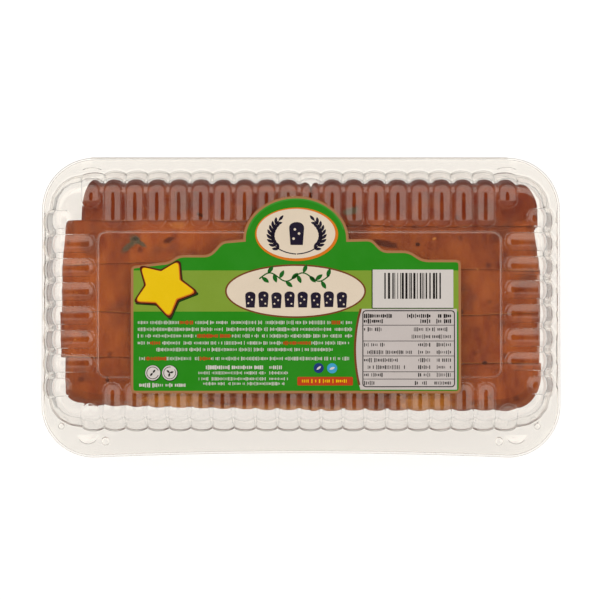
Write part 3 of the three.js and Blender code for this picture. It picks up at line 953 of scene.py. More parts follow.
# %% Lid
lid_parts = section(LID_PARTS)
lid_patch = Patchwork()
lid_ends = corners(lid_patch, lid_wall)
bosses = [add_boss(lid_patch, ellipse(x, y, radius, radius, 20), BUTTON_RINGS, LID_RIM)
          for x, y, radius in BUTTONS]
bosses += [add_boss(lid_patch, half_round(*boss), HALF_ROUND_RINGS, LID_RIM, boss) for boss in HALF_ROUNDS]
lid_foot = ring_outline(lid_wall, lid_parts, lid_ends, 0)
lid_rim = add_lip(lid_patch, LID_INSET, LID_REAR, LID_RIM)
lid_patch.flat([lid_rim, [p[:2] for p in lid_foot], *bosses], LID_RIM)
panel_rows = [[(*p, SHOULDER + height) for p in panel_outline(inset)] for inset, height in PANEL_STEPS]
lid_top = top_outline(lid_parts, lid_ends)
lid_patch.flat([[p[:2] for p in lid_top], panel_outline(PANEL_STEPS[0][0])], SHOULDER)
lid_patch.grid(panel_rows, closed=True)
lid_patch.flat([panel_outline(PANEL_STEPS[-1][0])], SHOULDER + PANEL_STEPS[-1][1])
lid_pieces = ribbed_sides("lid", lid_wall, lid_parts, True)
lid = joined("pack_lid_sheet", [new_object("lid_flats", lid_patch.mesh("lid_flats")), *lid_pieces])
thickened(lid, True)
add_value(lid.data, "haze", haze_of(read_values(lid.data.vertices, "co", 3) / MM))
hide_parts("lid")
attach(lid, "pack_lid")
print("lid triangles:", triangles_of(lid))

# %% Tray
FOLD_SIDES = 12
FOLD_ENDS = [(0, 0.05), (0.12, 0.6), (0.35, 0.9), (0.7, 1)]
tray_parts = section(TRAY_PARTS)
tray_patch = Patchwork()
tray_ends = corners(tray_patch, tray_wall)
tray_foot = ring_outline(tray_wall, tray_parts, tray_ends, 0)
tray_rim = ring_outline(tray_wall, tray_parts, tray_ends, -1)
tray_patch.flat([[p[:2] for p in tray_foot]], 0)
tray_patch.flat([add_lip(tray_patch, 0, FOLD_Y, TRAY_FLANGE), [p[:2] for p in tray_rim]], TRAY_FLANGE)
tray_pieces = ribbed_sides("tray", tray_wall, tray_parts, False)
tray = joined("pack_tray_sheet", [new_object("tray_flats", tray_patch.mesh("tray_flats")), *tray_pieces])
thickened(tray, False)

bead_patch = Patchwork()
half_fold = FOLD_LENGTH / 2
stations = [(-half_fold + at, share) for at, share in FOLD_ENDS]
stations += [(half_fold - at, share) for at, share in reversed(FOLD_ENDS)]
bead_rows = [[(FOLD_MIDDLE + x, FOLD_Y + FOLD_RADIUS * share * math.cos(a),
               FOLD_Z + FOLD_RADIUS * share * math.sin(a))
              for a in np.arange(FOLD_SIDES) * 2 * math.pi / FOLD_SIDES] for x, share in stations]
bead_patch.grid(bead_rows, closed=True)
for row in (bead_rows[0], bead_rows[-1]):
    bead_patch.add(row, [tuple(range(FOLD_SIDES))])
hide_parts("tray")
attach(tray, "pack_base")
fold = new_object("pack_fold_bead", weld(bead_patch.mesh("pack_fold_bead")), clear)
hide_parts("tray")
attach(fold, "pack_base")
print("tray triangles:", triangles_of(tray))

# %% [markdown]
# ## Slices of cake
# Ten slices stand in two blocks. A slice is crust all round except on the faces where the knife
# went. Each is a fine lattice on the same rounded form as its solid, and every point remembers how
# deep below the crust it lies. The material turns that depth into crust, golden edge and crumb.

# %% Sizes of the cake
CAKE_BASE = 1
CAKE_TOP = 42.6
SLICE_GAP = 0.06
CUT_WAVE = (0.28, 0.3)
PRESSED = {"rear": 2.2, "front": 0.7}
PRESSED_Z = (22, 29, 33, 40)
SPLIT_X = 4.6
CRUST_LEVELS = np.array([(1, 1.8), (14, 0.6), (30, 0), (37, 0.8), (41, 2.6), (42.6, 4.8)])
BLOCKS = [
    {"name": "slice_left", "turn": -1, "cuts": [57.4, 39.2, 19.4, -2.8, -23.2, -47],
     "ends": [(-100.6, -101.6), (-108.6, -110.2), (-110.3, -110.4), (-111.3, -110.9), (-108.8, -108.8)],
     "rises": [-0.3, 0, -0.1, 0.1, -0.2], "front_lean": 0.026,
     "rear_outer": (6, 10), "rear_inner": (8.5, 4.2), "front_outer": (13, 6.5)},
    {"name": "slice_right", "turn": 1, "cuts": [57.4, 36.5, 16.6, -3.7, -26.3, -47.4],
     "ends": [(109.5, 109.5), (107.6, 110.5), (110.6, 110.6), (110.6, 110.2), (111, 111)],
     "rises": [0, -0.2, 0.1, 0, -0.3], "front_lean": 0,
     "rear_outer": (15, 13), "rear_inner": (7.5, 4.2), "front_outer": (16, 15.5)},
]
LATTICE = 0.95

# %% The form of a slice
def crust_inset(z):
    """How far the crust lies inside its widest outline at a height, as a smooth curve."""
    heights, insets = CRUST_LEVELS.T
    slopes = np.gradient(insets, heights)
    k = np.clip(np.searchsorted(heights, z, side="right") - 1, 0, len(heights) - 2)
    span = heights[k + 1] - heights[k]
    t = np.clip((z - heights[k]) / span, 0, 1)
    return (insets[k] * (1 + 2 * t) * (1 - t) ** 2 + slopes[k] * span * t * (1 - t) ** 2
            + insets[k + 1] * t * t * (3 - 2 * t) - slopes[k + 1] * span * t * t * (1 - t))


def corner_pull(corner, distance):
    """How far a round corner pulls the end of a slice in, at a distance from the corner's edge."""
    part = np.clip(1 - distance / corner[1], 0, 1)
    return corner[0] * (1 - np.sqrt(1 - part * part))


def cut_wave(turn, number, x, z):
    """How far a cut strays from its plane. The two slices that it parts share it."""
    phase = 1.7 * number + 0.9 * turn
    return (CUT_WAVE[0] * np.sin(x / 5.3 + phase) * np.sin(x / 17 + 2.1 * phase)
            + CUT_WAVE[1] * np.sin(z / 2.2 + 1.3 * phase + x / 9))


def pressed(side, x, z):
    """How far the soft crust is pressed out into the ribs of a side at a height."""
    count, pitch, middle, _ = rib_row(side)
    place_in_row = (x - middle) / pitch + (count - 1) / 2
    offset = (place_in_row - np.round(place_in_row)) * pitch / HALF_TOP
    low, full, fading, over = PRESSED_Z
    share = np.clip(np.minimum((z - low) / (full - low), (over - z) / (over - fading)), 0, 1)
    return PRESSED[side] * rib_shape(offset) * share * share * (3 - 2 * share)


class Slice:
    """One slice: its two faces in Y, its ends in X, and its points."""

    def __init__(self, block, k):
        self.block, self.k, self.turn = block, k, block["turn"]
        self.first, self.last = k == 0, k == len(block["ends"]) - 1
        self.rear = block["cuts"][k] - (0 if self.first else SLICE_GAP / 2)
        self.front = block["cuts"][k + 1] + (0 if self.last else SLICE_GAP / 2)
        self.inner = SPLIT_X + self.turn * SLICE_GAP / 2

    def faces(self, x, z):
        """The Y of the rear and of the front face."""
        inset = crust_inset(z)
        if self.first:
            rear = self.rear - inset + pressed("rear", x, z)
        else:
            rear = self.rear + cut_wave(self.turn, self.k, x, z)
        if self.last:
            lean = self.block["front_lean"] * np.clip(abs(x - SPLIT_X) - 20, 0, None)
            front = self.front + inset + lean - pressed("front", x, z)
        else:
            front = self.front + cut_wave(self.turn, self.k + 1, x, z)
        return rear, front

    def ends(self, part, z):
        """The inner and the outer X at a part of the way from rear to front."""
        from_edge = (part if self.first else 1 - part) * (self.rear - self.front)
        pull = tuck = 0
        if self.first or self.last:
            outer_corner = self.block["rear_outer" if self.first else "front_outer"]
            pull = corner_pull(outer_corner, from_edge)
        if self.first:
            tuck = corner_pull(self.block["rear_inner"], from_edge)
        start, end = self.block["ends"][self.k]
        far = start + (end - start) * part - self.turn * (pull + crust_inset(z))
        return self.inner + self.turn * tuck, far

    def points(self, u, part, z):
        u, part, z = np.broadcast_arrays(u, part, z)
        near, far = self.ends(part, z)
        x = near + (far - near) * u
        rear, front = self.faces(x, z)
        rise = self.block["rises"][self.k] * (z - CAKE_BASE) / (CAKE_TOP - CAKE_BASE)
        return np.stack([x, rear + (front - rear) * part, z + rise], axis=-1)

    def depths(self, points):
        """How deep each point lies below the crust, behind the front cut and ahead of the rear cut."""
        x, y, z = points.T
        z = CAKE_BASE + (z - CAKE_BASE) * (CAKE_TOP - CAKE_BASE) / (CAKE_TOP - CAKE_BASE
                                                                   + self.block["rises"][self.k])
        rear, front = self.faces(x, z)
        near, far = self.ends(np.clip((rear - y) / (rear - front), 0, 1), z)
        walls = [CAKE_TOP - z, z - CAKE_BASE, (x - near) * self.turn, (far - x) * self.turn]
        away = np.full(len(points), 99.0)
        behind, ahead = away, away
        if self.first:
            walls.append(rear - y)
        else:
            behind = np.clip(rear - y, 0, None)
        if self.last:
            walls.append(y - front)
        else:
            ahead = np.clip(y - front, 0, None)
        return np.clip(np.min(walls, axis=0), 0, None), behind, ahead

# %% Lattice of a slice
def slice_lattice(piece):
    """The six faces of a slice as grids that share their edges."""
    length = abs(piece.block["ends"][piece.k][0] - SPLIT_X)
    depth = piece.rear - piece.front
    u = np.linspace(0, 1, round(length / LATTICE) + 1)
    t = np.linspace(0, 1, round(depth / LATTICE) + (9 if piece.first or piece.last else 1))
    part = t ** 1.6 if piece.first else 1 - (1 - t) ** 1.6 if piece.last else t
    beside_cut = np.array([0.22, 0.5]) / depth
    if not piece.first:
        part = np.append(part, beside_cut)
    if not piece.last:
        part = np.append(part, 1 - beside_cut)
    part.sort()
    z = np.concatenate([np.linspace(CAKE_BASE, 35, 26), np.linspace(36, 41, 8),
                        [41.5, 41.9, 42.2, 42.45, CAKE_TOP]])
    u_top, part_top = np.meshgrid(u, part)
    u_face, z_face = np.meshgrid(u, z)
    part_end, z_end = np.meshgrid(part, z)
    patch = Patchwork()
    for level in (CAKE_TOP, CAKE_BASE):
        patch.grid(piece.points(u_top, part_top, level))
    for side in (0, 1):
        patch.grid(piece.points(u_face, side, z_face))
        patch.grid(piece.points(side, part_end, z_end))
    return patch

# %% [markdown]
# ## Relief of crust and crumb
# Baked crust heaves a little, has small blisters and pits, and crumbles where the knife leaves it.
# One Geometry Nodes tree does this for every slice. It reads the depth and the closeness to a cut
# edge from the lattice. Crumb only moves inwards, so no slice grows into the next.

# %% Geometry Nodes: crust relief
relief, given, result = new_group("GeometryNodeTree", "Crust relief", {
    "Geometry": "Geometry", "Heave": 0.4, "Blisters": 0.3, "Crumble": 0.5, "Material": "Material"})


def named(tree, name):
    return add_node(tree, "GeometryNodeInputNamedAttribute", {"Name": name}, data_type="FLOAT").outputs[0]


def wave(position, size):
    """Noise from about minus one to one with waves of a size in metres."""
    return times(minus(noise(position, 1 / size, 2.0, 0.55), 0.5), 3.0)


def moved(tree, geometry, distance):
    """A geometry whose points move along their normals by a distance."""
    push = add_node(tree, "ShaderNodeVectorMath", {
        "Vector": add_node(tree, "GeometryNodeInputNormal").outputs[0], "Scale": distance,
    }, operation="SCALE")
    return add_node(tree, "GeometryNodeSetPosition", {
        "Geometry": geometry, "Offset": push.outputs[0]}).outputs[0]


here = add_node(relief, "GeometryNodeInputPosition").outputs[0]
rim_here = named(relief, "rim")
on_crust = ramp(named(relief, "depth"), 0.05, 0.6, 1.0, 0.0)
swell = plus(times(wave(here, 0.016), given["Heave"]), times(wave(here, 0.0038), given["Blisters"]))
crumbs = maths("ABSOLUTE", wave(here, 0.0026))
inwards = times(given["Crumble"], -1.0)
shift = plus(times(times(swell, minus(1.0, rim_here)), on_crust),
             times(times(crumbs, inwards), minus(1.0, on_crust)))
shift = plus(shift, times(times(plus(crumbs, 0.5), rim_here), inwards))
finish_tree(moved(relief, given["Geometry"], times(shift, MM)), given, result)

# %% [markdown]
# ## What the crust looks like
# The top is an even red-brown with lighter and darker drifts, fine streaks and a few dark spots.
# Some of it is paler where the batter browned less, and a piece of green candied fruit shows
# through near the rear left. Those places are soft patches with a wobbly outline. Painted shade
# darkens the crust along its rear edge and in thin creases, and a painted shadow darkens the cuts.

# %% Soft patch group
patches, given, result = new_group("ShaderNodeTree", "Soft patch", {
    "Position": "Vector", "Centre": "Vector", "Size": (0.01, 0.01, 0.01), "Turn": 0.0,
    "Wobble": 0.3, "Softness": 0.35})
turned = add_node(patches, "ShaderNodeVectorRotate", {
    "Vector": vector_maths("SUBTRACT", given["Position"], given["Centre"]), "Angle": given["Turn"],
}, rotation_type="Z_AXIS")
sized = vector_maths("DIVIDE", turned.outputs[0], given["Size"])
distance = add_node(patches, "ShaderNodeVectorMath", {"Vector": sized}, operation="LENGTH")
wobbly = times(minus(noise(given["Position"], 420.0), 0.5), times(given["Wobble"], 4.0))
connect(ramp(plus(distance.outputs["Value"], wobbly), plus(1.0, given["Softness"]),
             minus(1.0, given["Softness"])), result)

# %% Fruit cake material
CRUST_DARK = (0.215, 0.036, 0.012)
CRUST_LIGHT = (0.38, 0.076, 0.018)
CRUST_ORANGE = (0.5, 0.13, 0.023)
CRUST_DULL = (0.16, 0.047, 0.028)
# Painted shade along the rear edge of the crust, where the real cake lies in shade
PAINTED_REAR_SHADE = (0.175, 0.018, 0.002)
# Colour of real dark spots, and also of painted shade down the rear side, in creases and in the cuts
SPOTS_AND_PAINTED_SHADE = (0.08, 0.01, 0.004)
# Spans in Y, in metres, over which painted shade darkens the rear of the top crust and then the rear side
REAR_SHADE_SPAN = (0.034, 0.044)
REAR_SIDE_SHADE_SPAN = (0.0535, 0.057)
CRUST_GOLD = (0.72, 0.27, 0.04)
GOLDEN_EDGE = (0.62, 0.26, 0.06)
CRUMB = (0.78, 0.52, 0.17)
CRUMB_PALE = (0.86, 0.66, 0.3)
CAKE_GLOSS = 0.12
BLOTCH_STRENGTH, STREAK_STRENGTH = 0.75, 0.36
GRAIN_STRENGTH = 0.8
GOLD_PATCHES = [((-58, -44, 40), (14, 7, 10), 0.85), ((57, -44.5, 40), (11.5, 7, 10), 0.8),
                ((-10, -47, 33), (40, 3.5, 6), 0.7), ((-56.5, 37, 42), (3.4, 1.5, 6), 0.3)]
FRUIT_GREEN = (0.095, 0.09, 0.055)
FRUIT_DARK = (0.04, 0.034, 0.02)
FRUIT_STRENGTH = 0.85
FRUIT_PATCHES = [((-76.2, 30.4, 42), (2.4, 2.4, 6), 0.0, FRUIT_GREEN),
                 ((-79.4, 27.1, 42), (3.4, 1.4, 6), 0.75, FRUIT_GREEN),
                 ((-73.2, 28.6, 42), (2.7, 1.0, 6), -0.6, FRUIT_GREEN),
                 ((-76, 30.9, 42), (1.3, 0.9, 6), 0.3, FRUIT_DARK),
                 ((-60.6, 30.1, 42), (2.8, 1.3, 6), 0.3, SPOTS_AND_PAINTED_SHADE),
                 ((38.6, 28.6, 42), (5.5, 1.5, 6), -0.2, SPOTS_AND_PAINTED_SHADE),
                 ((23, 43.5, 42), (3.6, 1.7, 6), 0.2, FRUIT_GREEN)]

cake, tree, shader, position = new_material("Fruit cake")


def cake_drift(size, stretch=1.0):
    return use_group(drift, Position=position, Size=size, Stretch=stretch)


def cake_patch(centre, size, turn, wobble, softness):
    return use_group(patches, Position=position, Centre=Vector(centre) * MM, Size=Vector(size) * MM,
                     Turn=turn, Wobble=wobble, Softness=softness)


def painted(colour, *layers):
    """A colour under layers of paint, each given as where it lies, how strong it is and its colour."""
    for mask, strength, paint in layers:
        colour = mix_colour(times(mask, strength), colour, paint)
    return colour


wide_drift, fine_drift, blotches = cake_drift(0.017, 1.6), cake_drift(0.0028, 2.2), cake_drift(0.0055, 1.3)
rearwards = add_node(tree, "ShaderNodeSeparateXYZ", {"Vector": position}).outputs["Y"]
# Thin dark lines of painted shade, as in the creases of the crust
crease = maths("ABSOLUTE", minus(noise(position, 170.0), 0.5))
creases = times(ramp(crease, 0.0, 0.02, 1.0, 0.0), ramp(noise(position, 95.0, 1.0), 0.52, 0.62))
cells = add_node(tree, "ShaderNodeTexVoronoi", {"Vector": position, "Scale": 150.0})
picked = add_node(tree, "ShaderNodeSeparateColor", {"Color": cells.outputs["Color"]}).outputs[0]
spots = times(ramp(cells.outputs["Distance"], 0.1, 0.32, 1.0, 0.0), maths("GREATER_THAN", picked, 0.72))
colour = painted(
    mix_colour(wide_drift, CRUST_DARK, CRUST_LIGHT),
    (times(wide_drift, blotches), BLOTCH_STRENGTH, CRUST_ORANGE),
    (fine_drift, STREAK_STRENGTH, CRUST_ORANGE),
    # Painted shade: the crust is darker towards its rear edge and darkest down its rear side
    (times(ramp(rearwards, *REAR_SHADE_SPAN), ramp(blotches, 0.0, 1.0, 1.0, 0.65)), 0.9, PAINTED_REAR_SHADE),
    (ramp(rearwards, *REAR_SIDE_SHADE_SPAN), 0.85, SPOTS_AND_PAINTED_SHADE),
    (ramp(noise(position, 62.0, 2.0), 0.56, 0.72), 0.6, CRUST_DULL),
    # Painted shade in the creases
    (creases, 0.5, SPOTS_AND_PAINTED_SHADE),
    (spots, 0.55, SPOTS_AND_PAINTED_SHADE),
    *[(cake_patch(centre, size, 0.0, 0.35, 0.5), strength, CRUST_GOLD)
      for centre, size, strength in GOLD_PATCHES],
    *[(cake_patch(centre, size, -turn, 0.25, 0.4), FRUIT_STRENGTH, paint)
      for centre, size, turn, paint in FRUIT_PATCHES])

ragged = plus(attribute(tree, "depth"), times(fine_drift, -0.8))
crumb = mix_colour(cake_drift(0.0016), CRUMB, CRUMB_PALE)
baked_edge = mix_colour(ramp(ragged, 1.4, 3.2), GOLDEN_EDGE, crumb)
along_cut = ramp(noise(position, 45.0, 2.0), 0.42, 0.62)
colour = painted(
    mix_colour(ramp(ragged, 0.5, 1.3), colour, baked_edge),
    (times(attribute(tree, "pale_cut"), along_cut), 0.55, GOLDEN_EDGE),
    # Painted shadow in the gaps between slices, uneven along each cut
    (attribute(tree, "painted_cut_shadow"), ramp(along_cut, 0.0, 1.0, 0.45, 0.85), SPOTS_AND_PAINTED_SHADE))
speckle = use_group(grain, Position=position, Size=0.0007, Amount=GRAIN_STRENGTH)
shade = grey(times(attribute(tree, "tone"), speckle))
crust_bump = add_node(tree, "ShaderNodeBump", {
    "Height": plus(fine_drift, speckle), "Distance": 0.0002, "Strength": 0.7})
set_inputs(shader, {
    "Base Color": mix_colour(1.0, colour, shade, "MULTIPLY"), "Roughness": 0.62,
    "Specular IOR Level": CAKE_GLOSS, "Normal": crust_bump.outputs[0]})

# %% Bake the ten slices
TONES = {"slice_left": [1.0, 1.05, 1.0, 1.03, 0.97], "slice_right": [1.02, 0.92, 0.95, 0.99, 1.0]}
RIM_REACH, PALE_REACH, DARK_REACH = 0.8, 0.55, 0.9
# Middles and reaches in X of the strongest painted shadow in the cuts
DARK_CUTS = [(-33, 9), (33, 14)]


def cut_shadow(x):
    """How strong the painted shadow in a cut is along its length: strongest beside the middle, where a gap
    opens, and weaker outwards, where it closes.
    """
    gaps = [np.exp(-((x - middle) / reach) ** 2) for middle, reach in DARK_CUTS]
    return 0.75 + 0.25 * np.max(gaps, axis=0)


def closeness(below, away, reach):
    """How close points are to the edge between the crust and a cut: 1 on it, 0 past its reach."""
    return np.clip(1 - np.hypot(below, away) / reach, 0, 1)


cake_triangles = 0
for block in BLOCKS:
    for k in range(len(block["ends"])):
        piece = Slice(block, k)
        name = f"{block['name']}_{k + 1}"
        mesh = weld(slice_lattice(piece).mesh("cake_" + name))
        points = read_values(mesh.vertices, "co", 3) / MM
        below, behind, ahead = piece.depths(points)
        add_value(mesh, "depth", below)
        add_value(mesh, "rim", closeness(below, np.minimum(behind, ahead), RIM_REACH))
        add_value(mesh, "pale_cut", closeness(below, ahead, PALE_REACH))
        # Painted shadow along the slice's rear cut, close to the top crust
        add_value(mesh, "painted_cut_shadow", closeness(below, behind, DARK_REACH) * cut_shadow(points[:, 0]))
        add_value(mesh, "tone", np.full(len(points), TONES[block["name"]][k]))
        made = run_nodes(new_object("cake_" + name, mesh), relief, Heave=0.35, Blisters=0.12,
                         Crumble=0.05, Material=cake)
        made.data.shade_smooth()
        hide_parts(name)
        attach(made, "pack_base")
        cake_triangles += triangles_of(made)
print("triangles in the ten slices:", cake_triangles)

# %% [markdown]
# ## Candied fruit
# A few raisins and bits of golden peel break the crust. Each kind is one mesh: Geometry Nodes set a
# small ball on each of a handful of points, stretch and turn it by a seeded draw, and make it real.

# %% Geometry Nodes: fruit pieces
def random_vector(low, high, seed):
    """A vector between two others, drawn anew for each point."""
    node = add_node(seed.id_data, "FunctionNodeRandomValue", {"Seed": seed}, data_type="FLOAT_VECTOR")
    return feed(node, (low, high))


fruit_tree, given, result = new_group("GeometryNodeTree", "Fruit pieces", {
    "Geometry": "Geometry", "Radius": 0.001, "Stretch": 1.6, "Wrinkle": 0.0002, "Seed": 0,
    "Material": "Material"})
ball = add_node(fruit_tree, "GeometryNodeMeshIcoSphere", {"Radius": given["Radius"], "Subdivisions": 3})
longest = add_node(fruit_tree, "ShaderNodeCombineXYZ", {"X": given["Stretch"], "Y": 1.15, "Z": 0.75})
strewn = add_node(fruit_tree, "GeometryNodeInstanceOnPoints", {
    "Points": given["Geometry"], "Instance": ball.outputs[0],
    "Rotation": random_vector((0, 0, 0), (0.3, 0.3, 6.28), given["Seed"]),
    "Scale": random_vector((0.7, 0.65, 0.6), longest.outputs[0], given["Seed"])})
solid = add_node(fruit_tree, "GeometryNodeRealizeInstances", {"Geometry": strewn.outputs[0]})
wrinkles = wave(add_node(fruit_tree, "GeometryNodeInputPosition").outputs[0], 0.0012)
finish_tree(moved(fruit_tree, solid.outputs[0], times(wrinkles, given["Wrinkle"])), given, result)

# %% Strew the fruit
def fruit_material(name, dark, light, roughness):
    material, _, shader, position = new_material(name)
    mixed = mix_colour(use_group(drift, Position=position, Size=0.0015), dark, light)
    set_inputs(shader, {"Base Color": grained(mixed, position, 0.0004, 0.3), "Roughness": roughness,
                        "Specular IOR Level": CAKE_GLOSS})
    return material


def strew(name, seen, count, sunk, seed, material, **values):
    """One kind of fruit, partly sunk in the top crust: pieces at the places seen, and a number
    more at places drawn under the label."""
    draw = np.random.default_rng(seed)
    spots = seen + list(zip(draw.uniform(-74, 70, count), draw.uniform(-38, 18, count)))
    mesh = bpy.data.meshes.new(name)
    mesh.from_pydata([(x * MM, y * MM, (CAKE_TOP - sunk) * MM) for x, y in spots], [], [])
    made = run_nodes(new_object(name, mesh), fruit_tree, Seed=seed, Material=material, **values)
    made.data.shade_smooth()
    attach(made, "pack_base")
    return made


raisin = fruit_material("Raisin", (0.06, 0.012, 0.004), (0.14, 0.032, 0.01), 0.6)
peel = fruit_material("Golden peel", (0.5, 0.15, 0.03), (0.62, 0.27, 0.07), 0.45)
RAISINS = [(-46.4, 41.9), (-88.6, -33.5), (53.6, 28.2), (84.4, -26)]
PEEL = [(-102.4, 6.1), (-103.3, -15.5), (80.8, 16.6), (61.2, 30.8)]
strew("cake_raisins", RAISINS, 14, 0.35, 12, raisin, Radius=0.0009, Stretch=1.9, Wrinkle=0.00016)
strew("cake_peel", PEEL, 10, 0.42, 31, peel, Radius=0.0008, Stretch=1.5, Wrinkle=0.00008)

# %% [markdown]
# ## Label
# The label is a card with a dome in its top edge. Its print is built of thin plates, one colour
# over another, each a few hundredths of a millimetre higher. In place of lettering there are rows of
# short strokes, a wreath of wheat in the top oval and a leaf garland over a row of cake slices in
# the wide one.

# %% Ink
LABEL_LIGHT = (0.918, 0.866, 0.772)
GLARE = 0.005


def linear(*levels):
    """The linear colour of an ink, from its eight-bit levels in the label's light."""
    shares = (level / 255 for level in levels)
    return tuple(max(((s + 0.055) / 1.055) ** 2.4 - GLARE, 0.002) / light
                 for s, light in zip(shares, LABEL_LIGHT))


def ink(name, *levels):
    """Satin ink on card: its colour clouds a little and has a fine grain."""
    material, _, shader, position = new_material("Ink " + name)
    colour = linear(*levels)
    dark = tuple(c * 0.97 for c in colour)
    pale = tuple(c + (0.9 - c) * 0.006 for c in colour)
    mixed = mix_colour(use_group(drift, Position=position, Size=0.012), dark, pale)
    set_inputs(shader, {"Base Color": grained(mixed, position, 0.0005, 0.12), "Roughness": 0.42,
                        "Specular IOR Level": 0.08})
    return material


LEVELS = {
    "tan": (162, 112, 74), "dark green": (40, 129, 26), "light green": (123, 149, 51),
    "orange": (205, 112, 30), "brown": (112, 62, 34), "ivory": (218, 201, 178),
    "navy": (34, 28, 44), "leaf": (26, 92, 30), "yellow": (227, 187, 3), "shadow": (20, 58, 20),
    "maroon": (78, 26, 12), "white": (205, 197, 189), "red": (180, 64, 27), "panel": (193, 183, 177),
    "black": (30, 26, 26), "blue": (30, 52, 110), "sky": (62, 150, 190), "rim green": (60, 140, 48),
}
INKS = {name: ink(name, *levels) for name, levels in LEVELS.items()}
print("inks:", len(INKS))

# %% Outlines
LABEL = {"middle": -2.3, "half": 75.1, "bottom": -39.9, "corner": 2.5, "border": 1.15}
DOME = (-2.3, 30.2, 24, 19.7)
LABEL_RIGHT = [(70.2, 20.9), (58.4, 20.9), (46.2, 25.1), (39.6, 25.1), (30, 30.4)]
LABEL_LEFT = [(-75, 18.2), (-63.4, 19.6), (-52.8, 23.1), (-44.2, 23.1), (-33.2, 29.6)]


def bezier(*controls, count=12):
    """Points of a curve of any degree from its control points, without the first."""
    found = []
    for t in np.linspace(0, 1, count + 1)[1:]:
        points = [np.array(p, float) for p in controls]
        while len(points) > 1:
            points = [p + (q - p) * t for p, q in zip(points, points[1:])]
        found.append(tuple(points[0]))
    return found


def soft_step(start, end):
    """An S-shaped step from one level stretch of an edge to the next."""
    between = (start[0] + end[0]) / 2
    return [start, *bezier(start, (between, start[1]), (between, end[1]), end)]


def label_outline():
    """The label's edge, counterclockwise from its lower left corner."""
    middle, bottom, corner = LABEL["middle"], LABEL["bottom"], LABEL["corner"]
    left, right = middle - LABEL["half"], middle + LABEL["half"]
    high, low = LABEL_RIGHT[0][1], LABEL_LEFT[0][1]
    edge = [(left + corner, bottom), (right - corner, bottom)]
    edge += bezier(edge[-1], (right, bottom), (right, bottom + corner), count=6)
    edge += [(right, high - corner)]
    edge += bezier(edge[-1], (right, high), LABEL_RIGHT[0], count=6)
    edge += soft_step(*LABEL_RIGHT[1:3]) + soft_step(*LABEL_RIGHT[3:5])
    edge += [(DOME[0] + DOME[2] * math.cos(t), DOME[1] + DOME[3] * math.sin(t))
             for t in np.linspace(0, math.pi, 60)]
    edge += soft_step(*LABEL_LEFT[4:2:-1]) + soft_step(*LABEL_LEFT[2:0:-1]) + [LABEL_LEFT[0]]
    edge += bezier(edge[-1], (left, low), (left, low - corner), count=6)
    edge += [(left, bottom + corner)]
    return edge + bezier(edge[-1], (left, bottom), edge[0], count=6)[:-1]


def shrunk(loop, distance):
    """A counterclockwise loop moved inwards by a distance."""
    points = np.array(loop, float)
    ways = np.roll(points, -1, axis=0) - points
    ways /= np.linalg.norm(ways, axis=1)[:, None]
    lefts = np.stack([-ways[:, 1], ways[:, 0]], axis=1)
    normals = lefts + np.roll(lefts, 1, axis=0)
    normals /= (np.linalg.norm(normals, axis=1) ** 2 / 2)[:, None]
    return [tuple(p) for p in points + normals * distance]


STAR_STRETCH = (1.05, 0.965)


def star(x, y, tip, notch, first, soft=0.16):
    """A five-pointed star with rounded tips, a little wider than high."""
    corners = [np.array([x, y]) + (tip if k % 2 == 0 else notch) * np.array(STAR_STRETCH)
               * np.array([math.cos(math.radians(first + 36 * k)), math.sin(math.radians(first + 36 * k))])
               for k in range(10)]
    points = []
    for k, corner in enumerate(corners):
        share = soft if k % 2 == 0 else 0.06
        start = corner + (corners[k - 1] - corner) * share
        end = corner + (corners[(k + 1) % 10] - corner) * share
        points += [tuple(start), *bezier(start, corner, end, count=6)]
    return points


def leaf(x, y, length, width, angle, count=16):
    """A leaf or a grain: a pointed oval that starts at (x, y)."""
    ways = np.array([math.cos(angle), math.sin(angle)])
    side = np.array([-ways[1], ways[0]])
    steps = np.linspace(0, 1, count // 2 + 1)
    bulge = np.sin(math.pi * steps) ** 0.8 * width / 2
    low = [np.array([x, y]) + ways * length * t - side * b for t, b in zip(steps, bulge)]
    high = [np.array([x, y]) + ways * length * t + side * b for t, b in zip(steps, bulge)][1:-1]
    return [tuple(p) for p in low + high[::-1]]


def ribbon(points, width):
    """A band of even width along a line of points."""
    points = np.array(points, float)
    ways = np.gradient(points, axis=0)
    ways /= np.linalg.norm(ways, axis=1)[:, None]
    side = np.stack([-ways[:, 1], ways[:, 0]], axis=1) * width / 2
    return [tuple(p) for p in np.concatenate([points - side, (points + side)[::-1]])]

# %% Plates of print
CARD_LOW, CARD_HIGH, PRINT_STEP = 50.05, 50.38, 0.022
print_patch = Patchwork()
print_slots = []


def plate(colour, level, *loops, low=None):
    """A thin plate of one colour at a level above the card. Loops after the first are holes."""
    top = CARD_HIGH + PRINT_STEP * level
    low = top - PRINT_STEP * 1.5 if low is None else low
    before = len(print_patch.faces)
    print_patch.flat(loops, top)
    for loop in loops:
        print_patch.grid([[(*p, low) for p in loop], [(*p, top) for p in loop]], closed=True)
    print_slots.extend([list(INKS).index(colour)] * (len(print_patch.faces) - before))


edge = label_outline()
plate("tan", 0, edge, low=CARD_LOW)
before = len(print_patch.faces)
print_patch.flat([edge], CARD_LOW)
print_slots.extend([0] * (len(print_patch.faces) - before))
plate("dark green", 1, shrunk(edge, LABEL["border"]))
BAND_TOP, BAND_LOW = 16.0, -2.7
inner_left = LABEL["middle"] - LABEL["half"] + LABEL["border"]
inner_right = LABEL["middle"] + LABEL["half"] - LABEL["border"]
plate("light green", 2, [(inner_left, BAND_LOW), (inner_right, BAND_LOW), (inner_right, BAND_TOP),
                         (inner_left, BAND_TOP)])
dome = [(DOME[0] + DOME[2] * math.cos(t), DOME[1] + DOME[3] * math.sin(t))
        for t in np.linspace(0.25, math.pi - 0.25, 40)]
plate("rim green", 2, ribbon([(x, y) for x, y in np.array(dome) * (0.93, 0.93) + (-0.16, 2.1)], 0.7))

